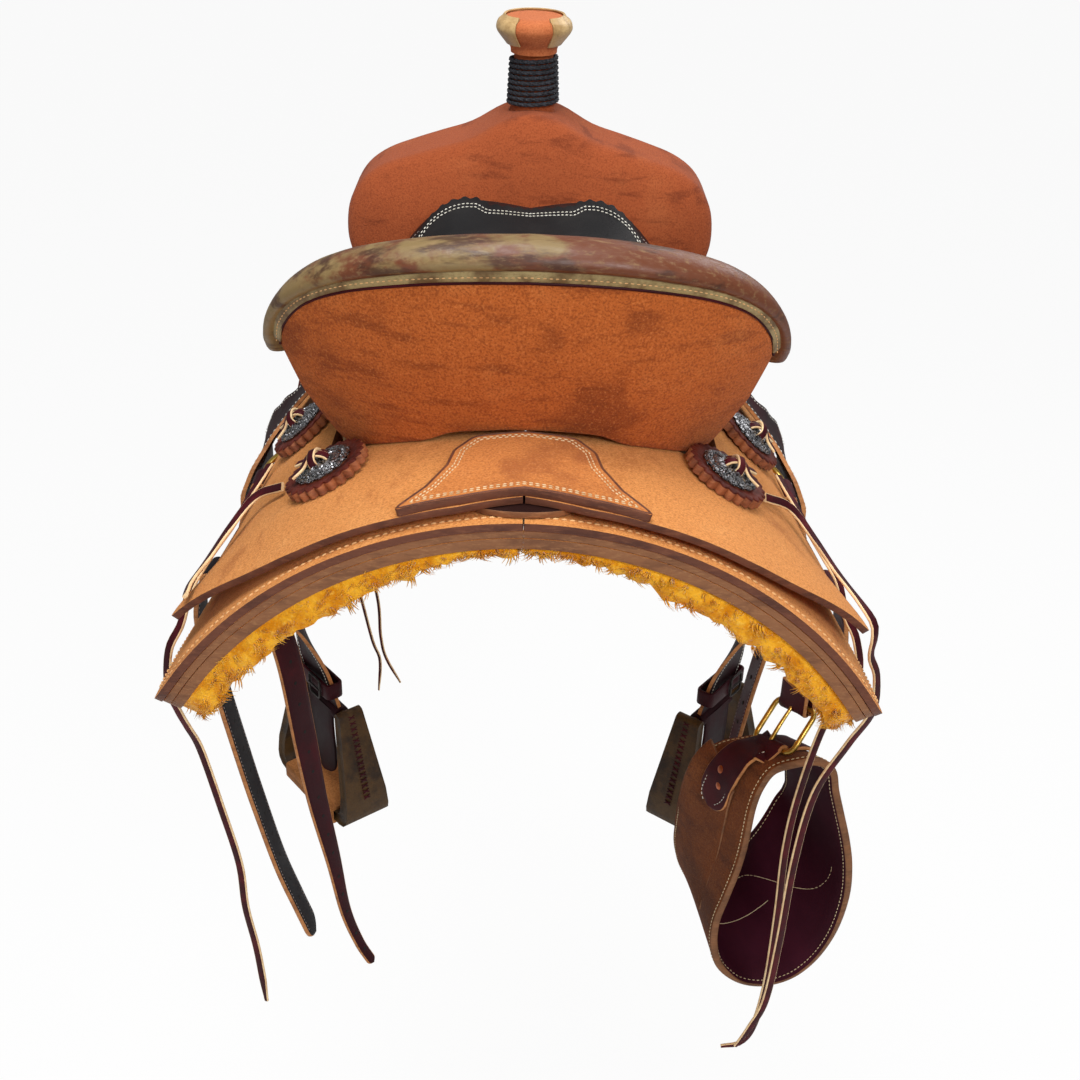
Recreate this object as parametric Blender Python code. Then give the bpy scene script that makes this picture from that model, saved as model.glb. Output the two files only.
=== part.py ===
"""A western mule saddle, as its separate leather, wood and metal pieces.

Metres, +Z up, +Y towards the horn, +X to the rider's right. The origin is the crown of the
mule's back half way along the skirts, and the saddle is held up there.
"""

import math

import bmesh
import bpy
from mathutils import Matrix, Vector

# Clearances
GAP = 0.0003
SEAM = 0.0016
SLACK = 0.0006

# The mule's back: an arch that is wider behind and narrower under the rider, and rises at both ends
ARCH_RADIUS_REAR = 0.320
ARCH_RADIUS_MIDDLE = 0.280
ROCKER_RISE = 0.008
ARCH_STEP = 0.036
LENGTH_STEP = 0.118

# Skirts and fleece
SKIRT_LENGTH = 0.711
SKIRT_REAR_Y = -0.358
SKIRT_DROP = 0.348
SKIRT_THICKNESS = 0.021
SKIRT_GROOVE_DEPTH = 0.0014
SKIRT_GROOVE_HEIGHT = 0.0012
FLEECE_LOFT = 0.020
FLEECE_LOFT_AT_SPINE = 0.006
CHANNEL_HALF_WIDTH = 0.056
CHANNEL_REAR_Y = -0.130
SKIRT_SEAM_FRONT_Y = -0.190

# Jockeys, back plate and gusset
LEATHER = 0.0055
PLATE_THICKNESS = 0.0062
GUSSET_THICKNESS = 0.0050
JOCKEY_LIFT = 0.0060
JOCKEY_TIP_LIFT = 0.011

# Tree
BAR_INNER = 0.042
BAR_OUTER = 0.150
BAR_HEIGHT = 0.025
BAR_REAR_Y = -0.310
BAR_FRONT_Y = 0.300
FORK_Y = 0.225
FORK_DEPTH = 0.124
FORK_LEAN = 0.12
SWELL_TAPER = 0.25
SWELL_LEATHER = 0.0050
CANTLE_THICKNESS = 0.016
CANTLE_LEATHER = 0.0045
CANTLE_HEIGHT = 0.130
CANTLE_HALF_WIDTH = 0.200

# Roll on the cantle's edge
ROLL_WIDTH = 0.050
ROLL_HEIGHT = 0.021
ROLL_TILT = math.radians(20)
ROLL_END_SHARE = 0.72

# Seat
SEAT_THICKNESS = 0.006
INLAY_THICKNESS = 0.007
SEAT_STEP = 0.042

# Horn
HORN_Y = 0.238
HORN_FOOT_Z = 0.1992
NECK_FOOT_RADIUS = 0.0224
NECK_TOP_RADIUS = 0.0196
NECK_HEIGHT = 0.0575
CAP_RADIUS = 0.0358
CAP_HEIGHT = 0.0340
CAP_STRETCH = 1.12
CAP_TOP_RADIUS = 0.0275
CAP_FOOT_RADIUS = 0.0232
RAWHIDE = 0.0016
WRAP_TURNS = 9
WRAP_CORD = 0.0046
WRAP_PITCH = 0.0051
POINTS_PER_TURN = 24

# Rosettes and conchos
ROSETTE_RADIUS = 0.036
ROSETTE_HEIGHT = 0.0090
ROSETTE_FLUTES = 20
CONCHO_RADIUS = 0.0235
CONCHO_HEIGHT = 0.0055
CONCHO_SCALLOPS = 12

# Fenders and stirrups
FENDER_HINGE_Y = 0.085
FENDER_HINGE_Z = 0.045
FENDER_STANDOFF = 0.009
STRAP_HALF_WIDTH = 0.032
STIRRUP_TURN = math.radians(38)
STIRRUP_BOLT_DROP = 0.484
BOLT_RADIUS = 0.005
STIRRUP_HEIGHT = 0.142
STIRRUP_TOP_HALF_WIDTH = 0.041
STIRRUP_BOTTOM_HALF_WIDTH = 0.081
STIRRUP_ARM = 0.012
STIRRUP_DEPTH_TOP = 0.031
STIRRUP_DEPTH_BOTTOM = 0.058
TREAD_LEATHER = 0.004

# Rigging and straps
DEE_WIRE = 0.0055
DEE_WIDTH = 0.070
STRAP_THICKNESS = 0.0042
BILLET_WIDTH = 0.038
LATIGO_WIDTH = 0.032
CINCH_THICKNESS = 0.0075
BUCKLE_WIRE = 0.0052
BUCKLE_HEIGHT = 0.060
STRING_RADIUS = 0.0040
THIN_STRING_RADIUS = 0.0022

LEFT, RIGHT = -1, 1
SIDES = ((LEFT, "left"), (RIGHT, "right"))


# Materials

def finish(name, colour, roughness, metallic=0.0):
    material = bpy.data.materials.new(name)
    material.use_nodes = True
    shader = material.node_tree.nodes["Principled BSDF"]
    shader.inputs["Base Color"].default_value = (*colour, 1.0)
    shader.inputs["Roughness"].default_value = roughness
    shader.inputs["Metallic"].default_value = metallic
    material.diffuse_color = (*colour, 1.0)
    return material


FINISHES = {
    "rough_out": ((0.55, 0.24, 0.09), 0.90, 0.0),
    "cantle_rough_out": ((0.43, 0.13, 0.04), 0.92, 0.0),
    "swell_leather": ((0.36, 0.09, 0.025), 0.55, 0.0),
    "black_leather": ((0.02, 0.018, 0.017), 0.45, 0.0),
    "burgundy_leather": ((0.09, 0.012, 0.02), 0.45, 0.0),
    "dark_leather": ((0.05, 0.022, 0.018), 0.50, 0.0),
    "rawhide": ((0.55, 0.42, 0.22), 0.45, 0.0),
    "roll_rawhide": ((0.20, 0.11, 0.06), 0.40, 0.0),
    "stirrup_rawhide": ((0.14, 0.10, 0.045), 0.50, 0.0),
    "tread_leather": ((0.42, 0.20, 0.07), 0.70, 0.0),
    "horn_cord": ((0.030, 0.032, 0.036), 0.60, 0.0),
    "fleece": ((0.80, 0.38, 0.02), 0.98, 0.0),
    "tree_wood": ((0.45, 0.30, 0.16), 0.60, 0.0),
    "silver": ((0.55, 0.54, 0.52), 0.35, 1.0),
    "brass": ((0.62, 0.45, 0.17), 0.28, 1.0),
    "lining_leather": ((0.42, 0.18, 0.08), 0.85, 0.0),
}


# Mesh helpers

def new_object(name, bm, material, smooth=True):
    bmesh.ops.remove_doubles(bm, verts=bm.verts, dist=1e-6)
    bmesh.ops.recalc_face_normals(bm, faces=bm.faces)
    mesh = bpy.data.meshes.new(name)
    bm.to_mesh(mesh)
    bm.free()
    if smooth:
        mesh.shade_smooth()
        mesh.set_sharp_from_angle(angle=math.radians(40))
    thing = bpy.data.objects.new(name, mesh)
    bpy.context.scene.collection.objects.link(thing)
    mesh.materials.append(MATERIALS[material])
    return thing


def smoothstep(value, low, high):
    share = min(1.0, max(0.0, (value - low) / (high - low)))
    return share * share * (3 - 2 * share)


def through(points, share):
    """The point at share, from 0 to 1, of a smooth curve through evenly weighted points."""
    place = share * (len(points) - 1)
    i = max(0, min(int(math.floor(place)), len(points) - 2))
    t = place - i
    p1, p2 = Vector(points[i]), Vector(points[i + 1])
    p0 = Vector(points[i - 1]) if i > 0 else 2 * p1 - p2
    p3 = Vector(points[i + 2]) if i + 2 < len(points) else 2 * p2 - p1
    return 0.5 * (2 * p1 + (p2 - p0) * t + (2 * p0 - 5 * p1 + 4 * p2 - p3) * t * t
                  + (3 * p1 - p0 - 3 * p2 + p3) * t * t * t)


def sampled(points, count):
    """count points along the smooth curve, evenly spaced by length."""
    fine = [through(points, k / 400) for k in range(401)]
    lengths = [0.0]
    for one, two in zip(fine, fine[1:]):
        lengths.append(lengths[-1] + (two - one).length)
    found, k = [], 0
    for n in range(count):
        target = lengths[-1] * n / (count - 1)
        while k < 399 and lengths[k + 1] < target:
            k += 1
        span = lengths[k + 1] - lengths[k]
        found.append(fine[k].lerp(fine[k + 1], (target - lengths[k]) / span if span else 0.0))
    return found


def rounded(corners, steps=3):
    """A flat outline from corners (x, y) or (x, y, radius), with an arc at each radius."""
    found = []
    count = len(corners)
    for i, corner in enumerate(corners):
        here = Vector(corner[:2])
        if len(corner) < 3:
            found.append(here)
            continue
        before = Vector(corners[i - 1][:2]) - here
        after = Vector(corners[(i + 1) % count][:2]) - here
        half = before.angle(after) / 2
        reach = min(corner[2] / math.tan(half), 0.45 * before.length, 0.45 * after.length)
        radius = reach * math.tan(half)
        centre = here + (before.normalized() + after.normalized()).normalized() * radius / math.sin(half)
        start = here + before.normalized() * reach - centre
        sweep = start.angle_signed(here + after.normalized() * reach - centre)
        for k in range(steps + 1):
            found.append(centre + Matrix.Rotation(-sweep * k / steps, 2) @ start)
    return found


def mirrored(outline, side):
    return outline if side == RIGHT else [Vector((-p[0], p[1])) for p in reversed(outline)]


def inset(outline, distance):
    """The same outline, with every side moved in by distance."""
    area = sum(a.x * b.y - b.x * a.y for a, b in zip(outline, outline[1:] + outline[:1]))
    turn = 1 if area > 0 else -1
    found = []
    for i, here in enumerate(outline):
        before = (here - outline[i - 1]).normalized()
        after = (outline[(i + 1) % len(outline)] - here).normalized()
        normal = Vector((-(before.y + after.y), before.x + after.x)).normalized() * turn
        side = Vector((-before.y, before.x)) * turn
        found.append(here + normal * distance / max(0.4, normal.dot(side)))
    return found


def loft(name, rings, material, closed_ends=True, smooth=True):
    """One closed solid through rings of the same count of points."""
    bm = bmesh.new()
    loops = []
    for ring in rings:
        verts = [bm.verts.new(p) for p in ring]
        loops.append(verts)
    for one, two in zip(loops, loops[1:]):
        for k in range(len(one)):
            n = (k + 1) % len(one)
            bm.faces.new((one[k], one[n], two[n], two[k]))
    if closed_ends:
        bm.faces.new(reversed(loops[0]))
        bm.faces.new(loops[-1])
    return new_object(name, bm, material, smooth)


def cut_away(thing, cutter):
    """Takes cutter out of thing, and deletes cutter."""
    modifier = thing.modifiers.new("cut", "BOOLEAN")
    modifier.operation = "DIFFERENCE"
    modifier.solver = "EXACT"
    modifier.object = cutter
    apply_and_drop(thing, cutter)


def join_on(thing, other):
    modifier = thing.modifiers.new("join", "BOOLEAN")
    modifier.operation = "UNION"
    modifier.solver = "EXACT"
    modifier.object = other
    apply_and_drop(thing, other)


def apply_and_drop(thing, other):
    evaluated = thing.evaluated_get(bpy.context.evaluated_depsgraph_get())
    mesh = bpy.data.meshes.new_from_object(evaluated)
    thing.modifiers.clear()
    thing.data = mesh
    bpy.data.objects.remove(other)


# Bent surfaces that leather is laid on

class Form:
    """A bent surface, flat in small triangles, so that stacked layers stay parallel.

    point(a, b) and normal(a, b) give the surface. Grid lines lie every step_a and step_b, with a
    diagonal in each cell that runs the mirrored way left of the centre line.
    """

    def __init__(self, point, step_a, step_b, normal=None):
        self.point = point
        self.normal = normal or self.measured_normal
        self.step_a = step_a
        self.step_b = step_b
        self.nodes = {}

    def measured_normal(self, a, b):
        h = 0.002
        across = self.point(a + h, b) - self.point(a - h, b)
        along = self.point(a, b + h) - self.point(a, b - h)
        return across.cross(along).normalized()

    def node(self, i, j):
        if (i, j) not in self.nodes:
            a, b = i * self.step_a, j * self.step_b
            self.nodes[i, j] = (self.point(a, b), self.normal(a, b))
        return self.nodes[i, j]

    def at(self, a, b, w=0.0):
        """The place of a point a across, b along and w above the surface."""
        side = -1 if a < 0 else 1
        u, v = abs(a) / self.step_a, b / self.step_b
        i, j = math.floor(u), math.floor(v)
        u, v = u - i, v - j
        if u + v <= 1:
            shares = (((i, j), 1 - u - v), ((i + 1, j), u), ((i, j + 1), v))
        else:
            shares = (((i + 1, j + 1), u + v - 1), ((i + 1, j), 1 - v), ((i, j + 1), 1 - u))
        place = Vector((0, 0, 0))
        for (column, row), share in shares:
            base, normal = self.node(side * column, row)
            place += share * (base + w * normal)
        return place

    def cut_lines(self, bm, outline):
        """Cuts a flat sheet along every grid line and diagonal that crosses it."""
        low_a, high_a = min(p[0] for p in outline), max(p[0] for p in outline)
        low_b, high_b = min(p[1] for p in outline), max(p[1] for p in outline)
        lines = []
        for i in range(math.ceil(low_a / self.step_a), math.floor(high_a / self.step_a) + 1):
            lines.append(((i * self.step_a, 0), (1, 0)))
        for j in range(math.ceil(low_b / self.step_b), math.floor(high_b / self.step_b) + 1):
            lines.append(((0, j * self.step_b), (0, 1)))
        for side in (LEFT, RIGHT):
            if side * (high_a if side == RIGHT else low_a) <= 1e-6:
                continue
            reach = [side * a / self.step_a + b / self.step_b for a in (low_a, high_a) for b in (low_b, high_b)]
            for k in range(math.ceil(min(reach)), math.floor(max(reach)) + 1):
                lines.append(((0, k * self.step_b), (side / self.step_a, 1 / self.step_b)))
        for (x, y), (nx, ny) in lines:
            geometry = bm.verts[:] + bm.edges[:] + bm.faces[:]
            bmesh.ops.bisect_plane(bm, geom=geometry, dist=1e-6, plane_co=(x, y, 0), plane_no=(nx, ny, 0))

    def lay(self, name, outline, low, high, material, extra_cuts=(), reshape=None, groove=None):
        """A sheet cut to outline, from height low to height high above the surface.

        reshape(a, b, w, top) gives another height, and groove is (height, depth, width) of a
        groove round the edge.
        """
        bm = bmesh.new()
        levels = [(low, 0.0)]
        if groove:
            middle, depth, width = groove
            levels += [(middle - width / 2, 0.0), (middle - width / 2, depth)]
            levels += [(middle + width / 2, depth), (middle + width / 2, 0.0)]
        levels.append((high, 0.0))
        loops = []
        for height, narrower in levels:
            ring = inset(outline, narrower) if narrower else outline
            loops.append([bm.verts.new((p[0], p[1], height)) for p in ring])
        for one, two in zip(loops, loops[1:]):
            for k in range(len(one)):
                n = (k + 1) % len(one)
                bm.faces.new((one[k], one[n], two[n], two[k]))
        bm.faces.new(reversed(loops[0]))
        bm.faces.new(loops[-1])
        self.cut_lines(bm, outline)
        for b in extra_cuts:
            geometry = bm.verts[:] + bm.edges[:] + bm.faces[:]
            bmesh.ops.bisect_plane(bm, geom=geometry, dist=1e-6, plane_co=(0, b, 0), plane_no=(0, 1, 0))
        for vert in bm.verts:
            a, b, w = vert.co
            if reshape:
                w = reshape(a, b, w, w > (low + high) / 2)
            vert.co = self.at(a, b, w)
        return new_object(name, bm, material)


STACK = FLEECE_LOFT + 2 * GAP + SKIRT_THICKNESS


def arch_radius(y):
    return ARCH_RADIUS_REAR + (ARCH_RADIUS_MIDDLE - ARCH_RADIUS_REAR) * smoothstep(y, SKIRT_REAR_Y, -0.04)


def crown_height(y):
    """Height of the skirts' top over the spine."""
    return STACK + ROCKER_RISE * (2 * y / SKIRT_LENGTH) ** 2


def back_point(s, y):
    radius = arch_radius(y)
    angle = s / radius
    return Vector((radius * math.sin(angle), y, crown_height(y) - radius + radius * math.cos(angle)))


def back_normal(s, y):
    angle = s / arch_radius(y)
    return Vector((math.sin(angle), 0, math.cos(angle)))


BACK = Form(back_point, ARCH_STEP, LENGTH_STEP, back_normal)


# Skirts, fleece and the leather on them

def skirt_outline():
    front = SKIRT_REAR_Y + SKIRT_LENGTH
    half_seam = SEAM / 2
    return rounded([
        (half_seam, SKIRT_REAR_Y),
        (SKIRT_DROP + 0.002, SKIRT_REAR_Y - 0.004, 0.036),
        (SKIRT_DROP + 0.004, 0.0),
        (SKIRT_DROP - 0.010, front, 0.095),
        (CHANNEL_HALF_WIDTH, front, 0.035),
        (CHANNEL_HALF_WIDTH, CHANNEL_REAR_Y, 0.040),
        (half_seam, SKIRT_SEAM_FRONT_Y, 0.020),
    ])


def fleece_loft(s):
    return FLEECE_LOFT_AT_SPINE + (FLEECE_LOFT - FLEECE_LOFT_AT_SPINE) * smoothstep(abs(s), 0.02, 0.15)


def make_skirts():
    outline = skirt_outline()
    top = -GAP
    low = top - SKIRT_THICKNESS
    groove = (low + 0.45 * SKIRT_THICKNESS, SKIRT_GROOVE_DEPTH, SKIRT_GROOVE_HEIGHT)
    for side, word in SIDES:
        flat = mirrored(outline, side)
        BACK.lay("skirt_" + word, flat, low, top, "rough_out", groove=groove)

        def fleece_height(a, b, w, is_top):
            return w if is_top else low - GAP - fleece_loft(a)

        BACK.lay("fleece_" + word, inset(flat, 0.002), low - GAP - FLEECE_LOFT, low - GAP, "fleece",
                 reshape=fleece_height)


def jockey_lift(s, y):
    """How far a back jockey's rear corner stands off the skirt."""
    return JOCKEY_TIP_LIFT * smoothstep(abs(s), 0.19, 0.29) * smoothstep(-y, 0.20, 0.33)


def make_jockeys():
    outline = rounded([
        (SEAM / 2, -0.338), (0.045, -0.350), (0.090, -0.352), (0.165, -0.349), (0.220, -0.339),
        (0.288, -0.323, 0.010), (0.292, -0.290), (0.290, -0.160), (0.277, -0.116), (0.263, -0.052),
        (0.250, -0.016, 0.020), (0.168, -0.012, 0.010), (0.166, -0.194), (SEAM / 2, -0.205),
    ])
    front = rounded([
        (0.168, 0.180, 0.012), (0.214, 0.196, 0.020), (0.222, 0.250), (0.205, 0.318, 0.030),
        (0.160, 0.330, 0.015), (0.154, 0.305), (0.160, 0.240),
    ])

    def lifted(a, b, w, is_top):
        return w + jockey_lift(a, b)

    for side, word in SIDES:
        BACK.lay("back_jockey_" + word, mirrored(outline, side), JOCKEY_LIFT, JOCKEY_LIFT + LEATHER,
                 "rough_out", reshape=lifted)
        BACK.lay("front_jockey_" + word, mirrored(front, side), GAP, GAP + LEATHER, "rough_out")


PLATE_LOW = JOCKEY_LIFT + LEATHER + GAP
PLATE_TOP = PLATE_LOW + PLATE_THICKNESS


def make_back_plate():
    half = rounded([
        (0.0, -0.337), (0.042, -0.3475), (0.091, -0.3525, 0.003), (0.069, -0.322), (0.056, -0.290),
        (0.052, -0.264, 0.010), (0.038, -0.242, 0.010), (0.0, -0.236),
    ])
    outline = half[:-1] + [half[-1]] + [Vector((-p.x, p.y)) for p in reversed(half[1:-1])]
    BACK.lay("back_plate", outline, PLATE_LOW, PLATE_TOP, "rough_out")
    lens = [Vector((0.036 * math.cos(t), -0.332 + 0.019 * math.sin(t)))
            for t in (2 * math.pi * k / 16 for k in range(16))]
    BACK.lay("skirt_gusset", lens, GAP, GAP + GUSSET_THICKNESS, "dark_leather")


# Tree

def make_bars():
    outline = rounded([
        (BAR_INNER, BAR_REAR_Y, 0.030), (BAR_OUTER - 0.020, BAR_REAR_Y, 0.040), (BAR_OUTER, -0.190),
        (BAR_OUTER, 0.230), (BAR_OUTER - 0.025, BAR_FRONT_Y, 0.040), (BAR_INNER + 0.012, BAR_FRONT_Y, 0.030),
        (BAR_INNER, 0.120),
    ])
    tip = JOCKEY_LIFT - 2 * GAP

    def bar_height(a, b, w, is_top):
        if not is_top:
            return w
        rear = smoothstep(b, -0.194, -0.150)
        return tip + (BAR_HEIGHT - tip) * rear

    for side, word in SIDES:
        BACK.lay("tree_bar_" + word, mirrored(outline, side), GAP, BAR_HEIGHT, "tree_wood",
                 extra_cuts=(-0.194, -0.172, -0.150), reshape=bar_height)


SWELL = [
    (0.0, 0.2045), (0.030, 0.1970), (0.063, 0.1795), (0.094, 0.1700), (0.122, 0.1615), (0.150, 0.1515),
    (0.171, 0.1370), (0.184, 0.1160), (0.188, 0.0930), (0.186, 0.0710), (0.177, 0.0530), (0.160, 0.0410),
]
FEET = [0.150, 0.118, 0.080]
GULLET = [(0.076, 0.080), (0.073, 0.104), (0.060, 0.130), (0.040, 0.146), (0.016, 0.154), (0.0, 0.155)]
GULLET_REAR_SHARE = 0.36
SWELL_ROUNDING = ((-1.0, 0.020), (-0.86, 0.006), (-0.5, 0.0), (0.5, 0.0), (0.86, 0.006), (1.0, 0.020))


def bar_top(x, y):
    """Height just above the bars' top, where the fork's feet stand."""
    radius = arch_radius(y)
    reach = radius + BAR_HEIGHT + 0.0016
    return crown_height(y) - radius + math.sqrt(reach ** 2 - x ** 2)


def swell_solid(name, margin, foot_drop, gullet_drop, material):
    """The fork's arch, margin inside the leather's outer face, rounded before and behind."""
    rings = []
    for share, rounding in SWELL_ROUNDING:
        outer = [Vector(p) for p in SWELL]
        half = []
        for i, here in enumerate(outer):
            before = outer[i - 1] if i else Vector((-outer[1].x, outer[1].y))
            after = outer[i + 1] if i + 1 < len(outer) else Vector((FEET[0], 0.0365))
            along = (after - before).normalized()
            half.append(here + Vector((along.y, -along.x)) * (margin + rounding))
        end_y = FORK_Y + share * FORK_DEPTH / 2
        feet = [Vector((x, bar_top(x, end_y) - foot_drop)) for x in (FEET[0] - margin - rounding, *FEET[1:])]
        roof = GULLET_REAR_SHARE + (1 - GULLET_REAR_SHARE) * smoothstep(share, -0.9, 0.6)
        inner = [Vector((max(0.0, x - gullet_drop), GULLET[0][1] + (z - GULLET[0][1]) * roof - gullet_drop))
                 for x, z in GULLET]
        half += feet + inner
        whole = half + [Vector((-p.x, p.y)) for p in reversed(half[1:-1])]
        reach = share * (FORK_DEPTH / 2 - margin)
        ring = []
        for p in whole:
            depth = 1 - SWELL_TAPER * (p.x / 0.19) ** 2
            ring.append((p.x, FORK_Y + reach * depth + FORK_LEAN * (p.y - 0.10), p.y))
        rings.append(ring)
    bm = bmesh.new()
    loops = [[bm.verts.new(p) for p in ring] for ring in rings]
    for one, two in zip(loops, loops[1:]):
        for k in range(len(one)):
            n = (k + 1) % len(one)
            bm.faces.new((one[k], one[n], two[n]))
            bm.faces.new((one[k], two[n], two[k]))
    for loop in (loops[0], loops[-1]):
        close_arch(bm, loop, len(SWELL), len(half))
    return new_object(name, bm, material)


def close_arch(bm, loop, outer_count, half_count):
    """Fills the end of an arch with triangles between its outer and inner lines."""
    for side in (LEFT, RIGHT):
        places = [loop[i if side == RIGHT or i in (0, half_count - 1) else len(loop) - i] for i in range(half_count)]
        outer = places[:outer_count]
        inner = places[:outer_count - 1:-1]
        i = j = 0
        while i < len(outer) - 1 or j < len(inner) - 1:
            if j == len(inner) - 1 or (i < len(outer) - 1 and (i + 1) * (len(inner) - 1) <= (j + 1) * (len(outer) - 1)):
                bm.faces.new((outer[i], outer[i + 1], inner[j]))
                i += 1
            else:
                bm.faces.new((outer[i], inner[j + 1], inner[j]))
                j += 1


def make_fork():
    swell_solid("tree_fork", SWELL_LEATHER + 0.0008, 0.0, 0.0, "tree_wood")
    cover = swell_solid("swell_cover", 0.0, 0.0, 0.0, "swell_leather")
    cut_away(cover, swell_solid("fork_room", SWELL_LEATHER, 0.012, 0.012, "tree_wood"))
    neck = cylinder("neck_room", NECK_FOOT_RADIUS + GAP, 0.05, 24, "tree_wood")
    neck.data.transform(Matrix.Translation((0, HORN_Y, HORN_FOOT_Z + 0.010)))
    cut_away(cover, neck)


def cylinder(name, radius, height, sides, material):
    bm = bmesh.new()
    bmesh.ops.create_cone(bm, cap_ends=True, segments=sides, radius1=radius, radius2=radius, depth=height)
    return new_object(name, bm, material)


# Cantle

CANTLE_TOP = [
    (0.0, -0.252, 0.1885), (0.050, -0.249, 0.1862), (0.097, -0.240, 0.1800), (0.138, -0.226, 0.1695),
    (0.169, -0.209, 0.1530), (0.188, -0.190, 0.1290), (0.195, -0.172, 0.1030),
]
CANTLE_BASE = [
    (0.0, -0.2310), (0.040, -0.2285), (0.075, -0.2195), (0.106, -0.2050), (0.130, -0.1870),
    (0.147, -0.1680), (0.157, -0.1540),
]


def cantle_point(a, b):
    side = -1 if a < 0 else 1
    across = abs(a) / CANTLE_HALF_WIDTH
    x, y, z = through(CANTLE_TOP, across)
    s, base_y = through([(p[0], p[1], 0) for p in CANTLE_BASE], across)[:2]
    stand = PLATE_TOP + SLACK + (JOCKEY_LIFT + LEATHER - PLATE_TOP) * smoothstep(s, 0.05, 0.08)
    base = BACK.at(s, base_y, stand)
    up = b / CANTLE_HEIGHT
    place = base.lerp(Vector((x, y, z)), up)
    place.y -= 0.006 * math.sin(math.pi * min(1.0, max(0.0, up)))
    place.x *= side
    return place


CANTLE = Form(cantle_point, CANTLE_HALF_WIDTH / 6, CANTLE_HEIGHT / 4)


def make_cantle():
    width = CANTLE_HALF_WIDTH
    outline = rounded([
        (-width * 0.99, CANTLE_HEIGHT - 0.002), (-width * 0.995, CANTLE_HEIGHT * 0.55, 0.020),
        (-width * 0.80, 0.001, 0.040), (width * 0.80, 0.001, 0.040),
        (width * 0.995, CANTLE_HEIGHT * 0.55, 0.020), (width * 0.99, CANTLE_HEIGHT - 0.002),
    ], steps=4)
    CANTLE.lay("cantle_back", outline, 0.0, CANTLE_LEATHER, "cantle_rough_out")
    CANTLE.lay("tree_cantle", inset(outline, 0.004), -GAP - CANTLE_THICKNESS, -GAP, "tree_wood")


ROLL_PATH = [
    (0.0, -0.246, 0.2030), (0.051, -0.243, 0.2003), (0.097, -0.235, 0.1930), (0.137, -0.221, 0.1810),
    (0.168, -0.204, 0.1630), (0.188, -0.185, 0.1390), (0.197, -0.168, 0.1130), (0.198, -0.153, 0.0930),
]
ROLL_SIDES = 12
ROLL_RINGS = 12


def roll_frame(share):
    """Centre, outward and up directions of the roll, share 0 at the middle and 1 at its end."""
    side = -1 if share < 0 else 1
    here = through(ROLL_PATH, abs(share))
    ahead = through(ROLL_PATH, min(1.0, abs(share) + 0.02)) - through(ROLL_PATH, max(0.0, abs(share) - 0.02))
    outward = Vector((ahead.y, -ahead.x, 0)).normalized()
    tangent = ahead.normalized()
    up = outward.cross(tangent)
    up = up if up.z > 0 else -up
    tilt = ROLL_TILT * (1 - 0.3 * abs(share))
    long_way = outward * math.cos(tilt) - up * math.sin(tilt)
    short_way = up * math.cos(tilt) + outward * math.sin(tilt)
    flip = Vector((side, 1, 1))
    return here * flip, long_way * flip, short_way * flip


def make_roll():
    rings = []
    for k in range(-ROLL_RINGS, ROLL_RINGS + 1):
        share = k / ROLL_RINGS
        centre, outward, up = roll_frame(share)
        size = 1 - (1 - ROLL_END_SHARE) * abs(share) ** 3
        ring = []
        for n in range(ROLL_SIDES):
            angle = 2 * math.pi * n / ROLL_SIDES
            wide = ROLL_WIDTH / 2 * math.cos(angle) * size
            high = ROLL_HEIGHT / 2 * math.sin(angle) * size
            if high < 0:
                high *= 0.75
            ring.append(centre + outward * wide + up * high)
        rings.append(ring)
    loft("cantle_roll", rings, "roll_rawhide")


# Seat

SEAT_GUIDES = [
    (0.000, [(0, -0.2215, 0.1800), (0.050, -0.2185, 0.1770), (0.093, -0.2095, 0.1690), (0.129, -0.1960, 0.1550),
             (0.155, -0.1810, 0.1360), (0.175, -0.1590, 0.1080), (0.186, -0.1350, 0.0760), (0.193, -0.1190, 0.0380)]),
    (0.045, [(0, -0.2030, 0.1370), (0.050, -0.2000, 0.1350), (0.093, -0.1910, 0.1290), (0.128, -0.1780, 0.1190),
             (0.152, -0.1620, 0.1050), (0.172, -0.1400, 0.0820), (0.188, -0.1180, 0.0520), (0.198, -0.1040, 0.0180)]),
    (0.095, [(0, -0.1640, 0.1020), (0.048, -0.1620, 0.1020), (0.090, -0.1540, 0.0990), (0.124, -0.1420, 0.0920),
             (0.148, -0.1280, 0.0800), (0.168, -0.1120, 0.0610), (0.186, -0.0980, 0.0350), (0.200, -0.0880, 0.0060)]),
    (0.170, [(0, -0.0900, 0.0880), (0.045, -0.0890, 0.0880), (0.085, -0.0860, 0.0840), (0.118, -0.0820, 0.0740),
             (0.144, -0.0780, 0.0600), (0.167, -0.0740, 0.0410), (0.188, -0.0700, 0.0180), (0.205, -0.0680, -0.0040)]),
    (0.260, [(0, 0.0, 0.0930), (0.042, 0.0, 0.0910), (0.080, 0.0, 0.0830), (0.112, 0.0, 0.0700),
             (0.139, 0.0, 0.0540), (0.163, 0.0, 0.0350), (0.184, 0.0, 0.0130), (0.201, 0.0, -0.0080)]),
    (0.345, [(0, 0.085, 0.1060), (0.042, 0.085, 0.1050), (0.080, 0.085, 0.0980), (0.111, 0.085, 0.0830),
             (0.138, 0.085, 0.0610), (0.161, 0.085, 0.0375), (0.181, 0.085, 0.0140), (0.199, 0.085, -0.0080)]),
    (0.400, [(0, 0.146, 0.1255), (0.042, 0.146, 0.1315), (0.078, 0.146, 0.1300), (0.108, 0.145, 0.1070),
             (0.134, 0.142, 0.0740), (0.157, 0.139, 0.0430), (0.177, 0.139, 0.0160), (0.194, 0.139, -0.0060)]),
]
SEAT_LENGTH = SEAT_GUIDES[-1][0]


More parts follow.
